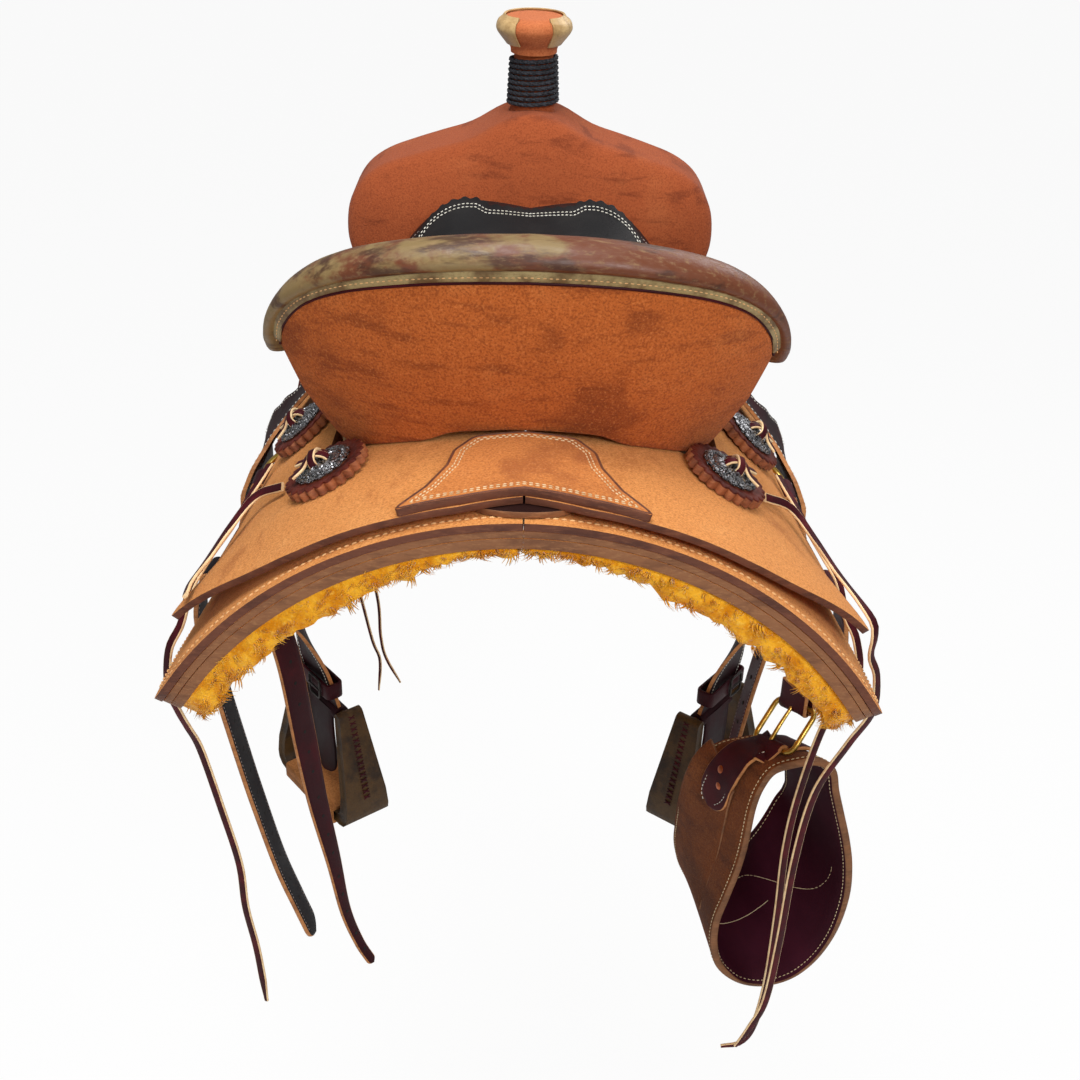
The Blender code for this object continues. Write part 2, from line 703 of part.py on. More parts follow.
def seat_section(guide, s):
    """The place on one guide curve at distance s from its middle."""
    points = [Vector(p) for p in guide]
    fine = [through(points, k / 64) for k in range(65)]
    travelled = 0.0
    for one, two in zip(fine, fine[1:]):
        span = (two - one).length
        if travelled + span >= s:
            return one.lerp(two, (s - travelled) / span)
        travelled += span
    return fine[-1] + (fine[-1] - fine[-2]).normalized() * (s - travelled)


def seat_point(a, b):
    side = -1 if a < 0 else 1
    places = [seat_section(guide, abs(a)) for _, guide in SEAT_GUIDES]
    knots = [at for at, _ in SEAT_GUIDES]
    i = 0
    while i < len(knots) - 2 and b > knots[i + 1]:
        i += 1
    t = (b - knots[i]) / (knots[i + 1] - knots[i])

    def slope(k):
        low, high = max(0, k - 1), min(len(knots) - 1, k + 1)
        return (places[high] - places[low]) / (knots[high] - knots[low])

    span = knots[i + 1] - knots[i]
    place = ((2 * t ** 3 - 3 * t ** 2 + 1) * places[i] + (t ** 3 - 2 * t ** 2 + t) * span * slope(i)
             + (3 * t ** 2 - 2 * t ** 3) * places[i + 1] + (t ** 3 - t ** 2) * span * slope(i + 1))
    place.x *= side
    return place


SEAT = Form(seat_point, SEAT_STEP, SEAT_LENGTH / 8)


def make_seat():
    outline = rounded([
        (-0.252, 0.010, 0.015), (0.252, 0.010, 0.015), (0.245, 0.070), (0.204, 0.130, 0.020),
        (0.200, 0.200, 0.030), (0.218, 0.280), (0.224, SEAT_LENGTH, 0.020), (-0.224, SEAT_LENGTH, 0.020),
        (-0.218, 0.280), (-0.200, 0.200, 0.030), (-0.204, 0.130, 0.020), (-0.245, 0.070),
    ])
    SEAT.lay("seat", outline, -SEAT_THICKNESS, 0.0, "dark_leather")
    half = [Vector((0.0, 0.392)), Vector((0.040, 0.391)), Vector((0.051, 0.3975)), Vector((0.064, 0.3980))]
    edge = sampled([(0.064, 0.398, 0), (0.092, 0.394, 0), (0.114, 0.382, 0), (0.130, 0.340, 0), (0.136, 0.260, 0),
                    (0.138, 0.180, 0), (0.134, 0.100, 0), (0.110, 0.048, 0), (0.060, 0.036, 0), (0.0, 0.034, 0)], 19)
    for k, p in enumerate(edge[1:], 1):
        scallop = 0.0022 if k % 2 and k < 10 else 0.0
        half.append(Vector((p.x + scallop, p.y)))
    outline = half + [Vector((-p.x, p.y)) for p in reversed(half[1:-1])]
    inner = 0.7

    def padded(a, b, w, is_top):
        edge_share = max(abs(a) / 0.13, abs(b - 0.215) / 0.18)
        return w - INLAY_THICKNESS * (1 - inner) * smoothstep(edge_share, 0.7, 1.0) if is_top else w

    SEAT.lay("seat_inlay", outline, GAP, GAP + INLAY_THICKNESS, "black_leather", reshape=padded)


# Horn

def turned(name, profile, centre, stretch, steps, material, sweep=2 * math.pi, start=0.0):
    """A solid turned about the vertical through centre, from (radius, height) points, closed."""
    bm = bmesh.new()
    full = sweep > 2 * math.pi - 0.001
    rings = []
    for k in range(steps if full else steps + 1):
        angle = start + sweep * k / steps
        ring = []
        for radius, height in profile:
            ring.append((centre[0] + radius * math.cos(angle),
                         centre[1] + radius * math.sin(angle) * stretch, centre[2] + height))
        rings.append([bm.verts.new(p) for p in ring])
    pairs = list(zip(rings, rings[1:])) + ([(rings[-1], rings[0])] if full else [])
    closed = 0 if full else 1
    for one, two in pairs:
        for k in range(len(profile) - 1 + closed):
            n = (k + 1) % len(profile)
            bm.faces.new((one[k], two[k], two[n], one[n]))
    if full:
        bm.faces.new([ring[0] for ring in rings])
        bm.faces.new([ring[-1] for ring in rings])
    else:
        bm.faces.new(rings[0])
        bm.faces.new(rings[-1])
    return new_object(name, bm, material)


CAP_FOOT = HORN_FOOT_Z + NECK_HEIGHT
CAP_PROFILE = [
    (CAP_FOOT_RADIUS, 0.0), (0.0236, 0.0040), (0.0258, 0.0085), (0.0310, 0.0150), (0.0350, 0.0205),
    (CAP_RADIUS, 0.0250), (0.0335, 0.0308), (CAP_TOP_RADIUS, CAP_HEIGHT),
]


def make_horn():
    foot = (0, HORN_Y, HORN_FOOT_Z)
    turned("horn_post", [(NECK_FOOT_RADIUS, 0.0), (NECK_FOOT_RADIUS, 0.004), (NECK_TOP_RADIUS, NECK_HEIGHT)],
           foot, 1.0, 24, "swell_leather")
    cap = (0, HORN_Y, CAP_FOOT + GAP)
    turned("horn_cap", CAP_PROFILE, cap, CAP_STRETCH, 28, "swell_leather")
    inner = [(r + 0.0006, z - 0.0002) for r, z in CAP_PROFILE[2:-1]] + [(CAP_TOP_RADIUS + 0.002, CAP_HEIGHT + 0.0006)]
    outer = [(r + 0.0006 + RAWHIDE, z - 0.0006) for r, z in CAP_PROFILE[2:-1]]
    outer += [(CAP_TOP_RADIUS + 0.0035, CAP_HEIGHT + 0.0006 + RAWHIDE)]
    turned("horn_cap_rawhide", inner + outer[::-1], cap, CAP_STRETCH, 24, "rawhide",
           sweep=math.radians(300), start=math.radians(-60))
    make_wrap()


def wrap_points():
    """The cord's middle line round the neck, with a straight end at each side."""
    points = []
    count = WRAP_TURNS * POINTS_PER_TURN
    foot = SWELL[0][1] + SLACK + WRAP_CORD / 2
    for k in range(count + 1):
        angle = 2 * math.pi * k / POINTS_PER_TURN + math.pi / 2
        rise = WRAP_PITCH * k / POINTS_PER_TURN
        share = (foot + rise - HORN_FOOT_Z) / NECK_HEIGHT
        neck = NECK_FOOT_RADIUS + (NECK_TOP_RADIUS - NECK_FOOT_RADIUS) * share
        radius = neck + GAP + 0.0003 + WRAP_CORD / 2
        points.append(Vector((radius * math.cos(angle), HORN_Y + radius * math.sin(angle), foot + rise)))
    first = points[0] - (points[1] - points[0]).normalized() * WRAP_CORD
    last = points[-1] + (points[-1] - points[-2]).normalized() * WRAP_CORD
    return [first] + points + [last]


def make_wrap():
    points = wrap_points()
    tube("horn_wrap", points, WRAP_CORD / 2, 1, "horn_cord")
    near = min((points[i] - points[j]).length for i in range(len(points))
               for j in range(i + POINTS_PER_TURN // 2, min(len(points), i + 2 * POINTS_PER_TURN)))
    print("least gap of the horn wrap to itself, mm:", round((near - WRAP_CORD) * 1000, 2))


def tube(name, points, radius, resolution, material):
    curve = bpy.data.curves.new(name, "CURVE")
    curve.dimensions = "3D"
    curve.bevel_depth = radius
    curve.bevel_resolution = resolution
    curve.use_fill_caps = True
    spline = curve.splines.new("POLY")
    spline.points.add(len(points) - 1)
    for spot, place in zip(spline.points, points):
        spot.co = (*place, 1.0)
    curve.materials.append(MATERIALS[material])
    thing = bpy.data.objects.new(name, curve)
    bpy.context.scene.collection.objects.link(thing)
    return thing


# Rosettes and conchos

ROSETTES = (
    ("rear_left", -0.155, -0.229), ("rear_right", 0.160, -0.217),
    ("middle_left", -0.205, -0.068), ("middle_right", 0.209, -0.066),
    ("front_left", -0.192, 0.250), ("front_right", 0.192, 0.250),
)


def rosette_place(s, y):
    """The frame of a rosette that lies on the jockey's top."""
    lift = (GAP if y > 0 else JOCKEY_LIFT) + LEATHER + jockey_lift(s, y) + 0.0022
    normal = back_normal(s, y)
    along = Vector((0, 1, 0))
    across = along.cross(normal).normalized()
    frame = Matrix((across, along, normal)).transposed().to_4x4()
    frame.translation = back_point(s, y) + normal * lift
    return frame


def fluted_disc(name, frame, radius, height, count, depth, dome, material):
    """A round disc with count flutes in its edge and a domed top."""
    bm = bmesh.new()
    rings = []
    for r, z, flute in ((radius, 0.0, depth), (radius * 0.97, height * 0.75, depth), (radius * 0.62, height, 0.0)):
        ring = []
        for k in range(2 * count):
            angle = math.pi * k / count
            reach = r - (flute if k % 2 else 0.0)
            ring.append(bm.verts.new((reach * math.cos(angle), reach * math.sin(angle), z)))
        rings.append(ring)
    for one, two in zip(rings, rings[1:]):
        for k in range(2 * count):
            n = (k + 1) % (2 * count)
            bm.faces.new((one[k], one[n], two[n], two[k]))
    bm.faces.new(rings[0])
    top = bm.verts.new((0, 0, height + dome))
    for k in range(2 * count):
        bm.faces.new((rings[-1][k], rings[-1][(k + 1) % (2 * count)], top))
    bm.transform(frame)
    return new_object(name, bm, material)


def make_rosettes():
    for name, s, y in ROSETTES:
        frame = rosette_place(s, y)
        fluted_disc("rosette_" + name, frame, ROSETTE_RADIUS, ROSETTE_HEIGHT, ROSETTE_FLUTES, 0.0018, 0.0,
                    "burgundy_leather")
        raised = frame @ Matrix.Translation((0, 0, ROSETTE_HEIGHT + GAP))
        fluted_disc("concho_" + name, raised, CONCHO_RADIUS, CONCHO_HEIGHT, CONCHO_SCALLOPS, 0.0016, 0.0015,
                    "silver")


# Fenders, hobble straps and stirrups

def skirt_side(depth):
    """X of the skirt's outer face at a depth below the fender's hinge, then straight down."""
    y = FENDER_HINGE_Y
    radius = arch_radius(y)
    centre = crown_height(y) - radius
    z = FENDER_HINGE_Z - depth
    lowest = centre + radius * math.cos(SKIRT_DROP / radius)
    z = max(z, lowest)
    return math.sqrt(radius ** 2 - (z - centre) ** 2)


EDGE_DEPTH = FENDER_HINGE_Z - (crown_height(0.085) - ARCH_RADIUS_MIDDLE
                               + ARCH_RADIUS_MIDDLE * math.cos(SKIRT_DROP / ARCH_RADIUS_MIDDLE))
FALL_IN = math.tan(math.radians(13))


def fender_face(reach):
    """X of the fender's inner face at a distance from the hinge, so that it can swing on the skirt."""
    standoff = FENDER_STANDOFF * 1.35
    inward = max(0.0, reach - EDGE_DEPTH - 0.04) * FALL_IN
    return skirt_side(reach) + standoff - inward


FENDER_SHAPE = [
    (0.056, 0.026), (0.105, 0.030), (0.130, 0.050), (0.155, 0.072), (0.185, 0.080), (0.230, 0.078),
    (0.290, 0.066), (0.340, 0.046), (0.380, 0.034), (0.420, 0.032), (0.4770, 0.032),
]


def fender_half_width(depth):
    for (d0, w0), (d1, w1) in zip(FENDER_SHAPE, FENDER_SHAPE[1:]):
        if depth <= d1:
            return w0 + (w1 - w0) * smoothstep(depth, d0, d1)
    return FENDER_SHAPE[-1][1]


def strap_turn(depth):
    return STIRRUP_TURN * smoothstep(depth, 0.330, 0.440)


def fender_frame(side, depth):
    """Middle, across and outward directions of the strap at a depth below the hinge."""
    turn = strap_turn(depth)
    x = fender_face(depth) + LEATHER / 2
    across = Vector((side * math.sin(turn) * -1, -math.cos(turn), 0))
    outward = Vector((side * math.cos(turn), -math.sin(turn), 0))
    return Vector((side * x, FENDER_HINGE_Y, FENDER_HINGE_Z - depth)), across, outward


def make_fender(side, word):
    rings = []
    depths = [d for d, _ in FENDER_SHAPE]
    depths = sorted(depths + [0.078, 0.2600, 0.315, 0.360, 0.400, 0.440])
    cells = 4
    for depth in depths:
        middle, across, outward = fender_frame(side, depth)
        half = fender_half_width(depth)
        straight = 1 - smoothstep(depth, 0.28, 0.36)
        outer, inner = [], []
        for k in range(cells + 1):
            a = half * (2 * k / cells - 1)
            place = middle + across * a
            place.x += side * straight * (fender_face(math.hypot(a, depth)) - fender_face(depth))
            outer.append(place + outward * LEATHER / 2)
            inner.append(place - outward * LEATHER / 2)
        rings.append(outer + inner[::-1])
    fender = loft("fender_" + word, rings, "dark_leather")
    loop = bolt_loop(side)
    join_on(fender, loop)
    return fender


def bolt_frame(side):
    """The stirrup bolt's frame: X along the bolt, Y out through the stirrup, Z up."""
    middle, across, outward = fender_frame(side, STIRRUP_BOLT_DROP)
    along = across if across.x > 0 else -across
    forward = Vector((0, 0, 1)).cross(along)
    frame = Matrix((along, forward, Vector((0, 0, 1)))).transposed().to_4x4()
    frame.translation = middle
    return frame


def bolt_loop(side):
    """The strap's end: an eye round the bolt, and the free end that hangs behind it."""
    inner = BOLT_RADIUS + 0.0008
    outer = inner + 0.0036
    half = STRAP_HALF_WIDTH
    sides = 12
    bm = bmesh.new()
    rings = []
    for x in (-half, half):
        ring_out = [(x, outer * math.cos(t), outer * math.sin(t)) for t in
                    (2 * math.pi * k / sides for k in range(sides))]
        ring_in = [(x, inner * math.cos(t), inner * math.sin(t)) for t in
                   (2 * math.pi * k / sides for k in range(sides))]
        rings.append(([bm.verts.new(p) for p in ring_out], [bm.verts.new(p) for p in ring_in]))
    (out0, in0), (out1, in1) = rings
    for k in range(sides):
        n = (k + 1) % sides
        bm.faces.new((out0[k], out0[n], out1[n], out1[k]))
        bm.faces.new((in0[k], in1[k], in1[n], in0[n]))
        bm.faces.new((out0[k], in0[k], in0[n], out0[n]))
        bm.faces.new((out1[k], out1[n], in1[n], in1[k]))
    bm.transform(bolt_frame(side))
    eye = new_object("eye", bm, "dark_leather")
    tail_half = 0.025
    outline = rounded([(-tail_half, 0.010), (-tail_half, -0.095, 0.020), (tail_half, -0.095, 0.020),
                       (tail_half, 0.010)])
    bm = bmesh.new()
    front = [bm.verts.new((p.x, -outer + 0.0004, p.y)) for p in outline]
    back = [bm.verts.new((p.x, -outer + 0.0040, p.y)) for p in outline]
    for k in range(len(front)):
        n = (k + 1) % len(front)
        bm.faces.new((front[k], front[n], back[n], back[k]))
    bm.faces.new(front)
    bm.faces.new(back)
    bm.transform(bolt_frame(side))
    tail = new_object("tail", bm, "dark_leather")
    room = cylinder("bolt_room", inner, 0.08, 12, "dark_leather")
    room.data.transform(bolt_frame(side) @ Matrix.Rotation(math.pi / 2, 4, "Y"))
    cut_away(tail, room)
    join_on(eye, tail)
    return eye


def band(name, frame, inner, outer, height, material):
    """A flat loop of strap round a leather, from two outlines and a height."""
    bm = bmesh.new()
    rings = []
    for z in (-height / 2, height / 2):
        rings.append(([bm.verts.new((p.x, p.y, z)) for p in outer], [bm.verts.new((p.x, p.y, z)) for p in inner]))
    (out0, in0), (out1, in1) = rings
    for k in range(len(outer)):
        n = (k + 1) % len(outer)
        bm.faces.new((out0[k], out0[n], out1[n], out1[k]))
        bm.faces.new((in0[k], in1[k], in1[n], in0[n]))
        bm.faces.new((out0[k], in0[k], in0[n], out0[n]))
        bm.faces.new((out1[k], out1[n], in1[n], in1[k]))
    bm.transform(frame)
    return new_object(name, bm, material)


def make_hobble(side, word):
    depth = 0.450
    middle, across, outward = fender_frame(side, depth)
    along = across if across.x > 0 else -across
    forward = Vector((0, 0, 1)).cross(along)
    frame = Matrix((along, forward, Vector((0, 0, 1)))).transposed().to_4x4()
    frame.translation = middle
    half, thick = STRAP_HALF_WIDTH + 0.0022, 0.0075
    inner = rounded([(-half, -thick, 0.003), (half, -thick, 0.003), (half, thick, 0.003), (-half, thick, 0.003)])
    wall = 0.0032
    grown = half + wall
    outer = rounded([(-grown, -thick - wall, 0.006), (grown, -thick - wall, 0.006),
                     (grown, thick + wall, 0.006), (-grown, thick + wall, 0.006)])
    band("hobble_strap_" + word, frame, inner, outer, 0.019, "burgundy_leather")


def make_stirrup(side, word):
    top, bottom = STIRRUP_TOP_HALF_WIDTH, STIRRUP_BOTTOM_HALF_WIDTH
    high = 0.014
    outer = rounded([
        (-bottom, high - STIRRUP_HEIGHT, 0.022), (bottom, high - STIRRUP_HEIGHT, 0.022),
        (bottom - 0.002, high - STIRRUP_HEIGHT + 0.040), (top + STIRRUP_ARM, high, 0.008),
        (top, high, 0.004), (bottom - STIRRUP_ARM - 0.004, high - STIRRUP_HEIGHT + 0.038),
        (bottom - STIRRUP_ARM - 0.004, high - STIRRUP_HEIGHT + 0.013, 0.010),
        (-(bottom - STIRRUP_ARM - 0.004), high - STIRRUP_HEIGHT + 0.013, 0.010),
        (-(bottom - STIRRUP_ARM - 0.004), high - STIRRUP_HEIGHT + 0.038), (-top, high, 0.004),
        (-(top + STIRRUP_ARM), high, 0.008), (-(bottom - 0.002), high - STIRRUP_HEIGHT + 0.040),
    ])
    bm = bmesh.new()
    rings = []
    for way, share in ((-1, 0.90), (-1, 1.0), (1, 1.0), (1, 0.90)):
        ring = []
        for p in outer:
            low = smoothstep(-p.y, -high, STIRRUP_HEIGHT - high)
            depth = STIRRUP_DEPTH_TOP + (STIRRUP_DEPTH_BOTTOM - STIRRUP_DEPTH_TOP) * low
            ring.append((p.x, way * share * depth / 2, p.y))
        rings.append(ring)
    for k in (0, 3):
        flat = inset([Vector((x, z)) for x, _, z in rings[k]], 0.002)
        rings[k] = [(p.x, old[1], p.y) for p, old in zip(flat, rings[k])]
    loops = [[bm.verts.new(p) for p in ring] for ring in rings]
    for one, two in zip(loops, loops[1:]):
        for k in range(len(one)):
            n = (k + 1) % len(one)
            bm.faces.new((one[k], one[n], two[n], two[k]))
    bm.faces.new(loops[0])
    bm.faces.new(loops[-1])
    frame = bolt_frame(side)
    bm.transform(frame)
    stirrup = new_object("stirrup_" + word, bm, "stirrup_rawhide")
    bolt = cylinder("bolt", BOLT_RADIUS, 2 * (top + STIRRUP_ARM) - 0.004, 12, "brass")
    bolt.data.transform(frame @ Matrix.Rotation(math.pi / 2, 4, "Y"))
    join_on(stirrup, bolt)
    make_tread(side, word, frame, high)


def make_tread(side, word, frame, high):
    """The leather that is laced round the stirrup's foot."""
    half = STIRRUP_BOTTOM_HALF_WIDTH - STIRRUP_ARM - 0.004 - 0.012
    low = high - STIRRUP_HEIGHT - SLACK
    top = high - STIRRUP_HEIGHT + 0.013 + SLACK
    deep = STIRRUP_DEPTH_BOTTOM / 2 + SLACK
    t = TREAD_LEATHER
    inner = rounded([(-deep, low, 0.0005), (deep, low, 0.0005), (deep, top, 0.0005), (-deep, top, 0.0005)])
    outer = rounded([(-deep - t, low - t, 0.004), (deep + t, low - t, 0.004), (deep + t, top + t, 0.004),
                     (-deep - t, top + t, 0.004)])
    upright = frame @ Matrix(((0, 0, 1, 0), (1, 0, 0, 0), (0, 1, 0, 0), (0, 0, 0, 1)))
    band("stirrup_tread_" + word, upright, inner, outer, 2 * half, "tread_leather")


# Dees, billets, latigo and cinch

def closed_curve(points, count):
    """count points along a smooth closed curve."""
    looped = [points[-1]] + points + points[:2]
    span = len(looped) - 1
    return [through(looped, (1 + k * len(points) / count) / span) for k in range(count)]


def ring_tube(name, points, radius, material, sides=8):
    """A closed ring of round wire."""
    bm = bmesh.new()
    centre = sum(points, Vector()) / len(points)
    rings = []
    for i, here in enumerate(points):
        along = (points[(i + 1) % len(points)] - points[i - 1]).normalized()
        flat = (here - centre).cross(along).normalized()
        outward = along.cross(flat).normalized()
        rings.append([bm.verts.new(here + radius * (outward * math.cos(t) + flat * math.sin(t)))
                      for t in (2 * math.pi * k / sides for k in range(sides))])
    for one, two in zip(rings, rings[1:] + rings[:1]):
        for k in range(sides):
            n = (k + 1) % sides
            bm.faces.new((one[k], one[n], two[n], two[k]))
    return new_object(name, bm, material)


def strap(name, stations, thickness, material):
    """A flat strap through stations (place, across, half width)."""
    rings = []
    for i, (here, across, half) in enumerate(stations):
        before = stations[max(0, i - 1)][0]
        after = stations[min(len(stations) - 1, i + 1)][0]
        face = (after - before).cross(across).normalized() * thickness / 2
        level = across.normalized() * half
        rings.append([here - level - face, here - face, here + level - face,
                      here + level + face, here + face, here - level + face])
    return loft(name, rings, material)


def turn_round(centre, down, out, reach, start, steps=6):
    """Points over the top of a bar, from the inner side to the outer one."""
    found = [centre - out * reach + down * start, centre - out * reach + down * 0.003]
    for k in range(steps + 1):
        angle = math.pi * k / steps
        found.append(centre - out * reach * math.cos(angle) - down * reach * math.sin(angle))
    return found


EYE = DEE_WIRE / 2 + SLACK + STRAP_THICKNESS / 2
DEE_LOW_W = 0.0100


def make_dee(name, side, y, top_s, flat_s, low_s):
    wide, narrow = DEE_WIDTH / 2, DEE_WIDTH / 2 - 0.002
    low = DEE_WIRE / 2 + GAP
    half = [
        (top_s, 0.0, low), (top_s, wide - 0.010, low), (top_s + 0.003, wide - 0.003, low),
        (flat_s, wide, low + 0.0001), ((flat_s + low_s) / 2, wide, (low + DEE_LOW_W) / 2),
        (low_s - 0.005, narrow, DEE_LOW_W - 0.0008), (low_s, narrow - 0.006, DEE_LOW_W), (low_s, 0.0, DEE_LOW_W),
    ]
    whole = half + [(s, -v, w) for s, v, w in reversed(half[1:-1])]
    points = [BACK.at(side * s, y + v, w) for s, v, w in whole]
    ring_tube(name, closed_curve(points, 28), DEE_WIRE / 2, "brass", sides=6)


def dee_hinge(side, y, low_s):
    """The lower bar's middle, and the directions along it, down and out from the skirt there."""
    centre = BACK.at(side * low_s, y, DEE_LOW_W)
    ends = [BACK.at(side * low_s, y + reach, DEE_LOW_W) for reach in (-0.02, 0.02)]
    along = (ends[1] - ends[0]).normalized()
    out = back_normal(side * low_s, y)
    out = (out - along * out.dot(along)).normalized()
    down = along.cross(out)
    down = down if down.z < 0 else -down
    return centre, along, down, out


REAR_DEE_Y = -0.165
REAR_DEE = (0.284, 0.2955, 0.326)
FRONT_DEE_Y = -0.030
FRONT_DEE = (0.242, 0.2660, 0.296)

REAR_BILLET_LEFT = [
    (0.2870, -0.150), (0.2840, -0.190), (0.2770, -0.237), (0.2620, -0.325), (0.2530, -0.374),
    (0.2370, -0.452), (0.2220, -0.505), (0.2130, -0.535),
]
REAR_BILLET_RIGHT = [(0.2870, -0.150), (0.2860, -0.190)]
LATIGO = [
    (0.2740, -0.150), (0.2620, -0.210), (0.2410, -0.296), (0.2290, -0.407), (0.2200, -0.490),
    (0.2070, -0.577), (0.1970, -0.654), (0.1830, -0.705), (0.1710, -0.732),
]
OFF_BILLET = [(0.2740, -0.150), (0.2620, -0.210), (0.2450, -0.296), (0.2340, -0.370), (0.2280, -0.420)]


def hanging_strap(name, side, y, low_s, path, half_width, turn, taper, material):
    """A strap over a dee's lower bar, with one short leg inside and the long one outside."""
    centre, along, down, out = dee_hinge(side, y, low_s)
    stations = [(p, along, half_width) for p in turn_round(centre, down, out, EYE, 0.011)]
    last = stations[-1][0]
    line = [last] + [Vector((side * x, y, z)) for x, z in path]
    count = 2 * len(path) + 1
    for k, place in enumerate(sampled(line, count)[1:], 1):
        share = k / (count - 1)
        angle = turn * smoothstep(share, 0.02, 0.30)
        level = Vector((side * math.sin(angle), math.cos(angle), 0))
        level = along.lerp(level, smoothstep(share, 0.0, 0.15)).normalized()
        width = half_width * (1 - taper * smoothstep(share, 0.45, 1.0))
        stations.append((place, level, width))
    end, before = stations[-1][0], stations[-2][0]
    ahead = (end - before).normalized()
    level = stations[-1][1]
    width = stations[-1][2]
    for reach, share in ((0.45, 0.88), (0.80, 0.60), (0.98, 0.20)):
        stations.append((end + ahead * width * reach, level, width * share))
    return strap(name, stations, STRAP_THICKNESS, material)


CINCH_Y = -0.205
CINCH_RIM = [
    (0.257, -0.285), (0.238, -0.294), (0.228, -0.314), (0.223, -0.338), (0.221, -0.367), (0.219, -0.393),
    (0.215, -0.420), (0.208, -0.453), (0.201, -0.486), (0.201, -0.518), (0.209, -0.547), (0.228, -0.568),
    (0.250, -0.575), (0.273, -0.570), (0.292, -0.556), (0.309, -0.530), (0.321, -0.494), (0.326, -0.450),
    (0.323, -0.411), (0.316, -0.378), (0.306, -0.344), (0.298, -0.317), (0.292, -0.293), (0.278, -0.282),
]
# Turn and rise of the cinch's width in degrees, and the width, at eight places round its loop
CINCH_LEAN = [
    (27, -19, 0.085), (31, -15, 0.105), (22, -21, 0.132), (5, -13, 0.140), (14, 20, 0.142), (27, 32, 0.144),
    (20, 0, 0.130), (20, -19, 0.095),
]


def width_direction(turn, rise):
    turn, rise = math.radians(turn), math.radians(rise)
    return Vector((-math.sin(turn) * math.cos(rise), math.cos(turn) * math.cos(rise), math.sin(rise)))


CINCH_ALONG = width_direction(*CINCH_LEAN[0][:2])
CINCH_ACROSS = Vector((CINCH_ALONG.y, -CINCH_ALONG.x, 0)).normalized()
CINCH_UP = CINCH_ACROSS.cross(CINCH_ALONG)
LOW_BAR = Vector((0.239, -0.170, -0.2915))
HIGH_BAR = LOW_BAR + 0.0467 * (0.72 * CINCH_ACROSS + 0.694 * CINCH_UP)


def bar_loop(bar, along, half_width, half_rise, rise):
    return [bar + along * p.x + rise * p.y for p in rounded([
        (-half_width, 0, 0.008), (half_width, 0, 0.008), (half_width, 2 * half_rise, 0.008),
        (-half_width, 2 * half_rise, 0.008)], steps=4)]


def make_buckle():
    rise = HIGH_BAR - LOW_BAR
    corners = bar_loop(LOW_BAR, CINCH_ALONG, BUCKLE_HEIGHT / 2, rise.length / 2, rise.normalized())
    points = []
    for i, p in enumerate(corners):
        after = corners[(i + 1) % len(corners)]
        points.append(p)
        if (after - p).length > 0.012:
            points.append((p + after) / 2)
    ring_tube("cinch_buckle", points, BUCKLE_WIRE / 2, "brass")


def cinch_sections():
    """The middle, width direction, half width and outward direction at every station of the loop."""
    line = closed_curve([Vector((x, CINCH_Y, z)) for x, z in CINCH_RIM], 48)
    leans = closed_curve([Vector(lean) for lean in CINCH_LEAN], 48)
    middles = [here + width_direction(lean.x, lean.y) * lean.z / 2 for here, lean in zip(line, leans)]
    heart = sum(middles, Vector()) / len(middles)
    found = []
    for i, (middle, lean) in enumerate(zip(middles, leans)):
        along = width_direction(lean.x, lean.y)
        ahead = (middles[(i + 1) % len(middles)] - middles[i - 1]).normalized()
        outward = along.cross(ahead).normalized()
        found.append((middle, along, lean.z / 2, outward))
    if sum((middle - heart).dot(outward) for middle, _, _, outward in found) < 0:
        found = [(middle, along, half, -outward) for middle, along, half, outward in found]
    return found


def make_cinch():
    bm = bmesh.new()
    loops = []
    for middle, along, half, outward in cinch_sections():
        loops.append([bm.verts.new(middle + along * half * a + outward * sign * CINCH_THICKNESS / 2)
                      for sign, a in ((-1, -1), (1, -1), (1, 0), (1, 1), (-1, 1), (-1, 0))])
    for one, two in zip(loops, loops[1:] + loops[:1]):
        for k in range(len(one)):
            n = (k + 1) % len(one)
            bm.faces.new((one[k], one[n], two[n], two[k]))
    new_object("flank_cinch", bm, "lining_leather")


def make_cinch_tab():
    """The strap that holds the cinch's top on the buckle's lower bar."""
    sections = cinch_sections()
    half, thickness = 0.0205, 0.0034
    reach = BUCKLE_WIRE / 2 + SLACK + thickness / 2
    stand = CINCH_THICKNESS / 2 + 0.0011 + thickness / 2
    stations = [(sections[k][0] + sections[k][3] * stand, sections[k][1], half) for k in (6, 5, 4, 3, 2, 1)]
    for k in range(7):
        angle = math.pi * k / 6
        place = LOW_BAR - CINCH_ACROSS * reach * math.cos(angle) + CINCH_UP * reach * math.sin(angle)
        stations.append((place, CINCH_ALONG, half))
    stations += [(sections[k][0] + sections[k][3] * stand, sections[k][1], half) for k in (47, 46, 45)]
    first = stations[0][0]
    back = (first - stations[1][0]).normalized()
    ends = [(first + back * 0.013, stations[0][1], 0.007), (first + back * 0.008, stations[0][1], 0.0160)]
    strap("cinch_tab", ends + stations, thickness, "burgundy_leather")


def make_rigging():
    for side, word in SIDES:
        make_dee("rear_dee_" + word, side, REAR_DEE_Y, *REAR_DEE)
        make_dee("front_dee_" + word, side, FRONT_DEE_Y, *FRONT_DEE)
    half = BILLET_WIDTH / 2
    hanging_strap("rear_billet_left", LEFT, REAR_DEE_Y, REAR_DEE[2], REAR_BILLET_LEFT, half, 0.0, 0.15,
                  "black_leather")
    hanging_strap("latigo_left", LEFT, FRONT_DEE_Y, FRONT_DEE[2], LATIGO, LATIGO_WIDTH / 2,
                  math.radians(-35), 0.60, "burgundy_leather")
    hanging_strap("off_billet_right", RIGHT, FRONT_DEE_Y, FRONT_DEE[2], OFF_BILLET, half, 0.0, 0.1,
                  "burgundy_leather")
    make_right_billet()
    make_buckle()
    make_cinch()
    make_cinch_tab()


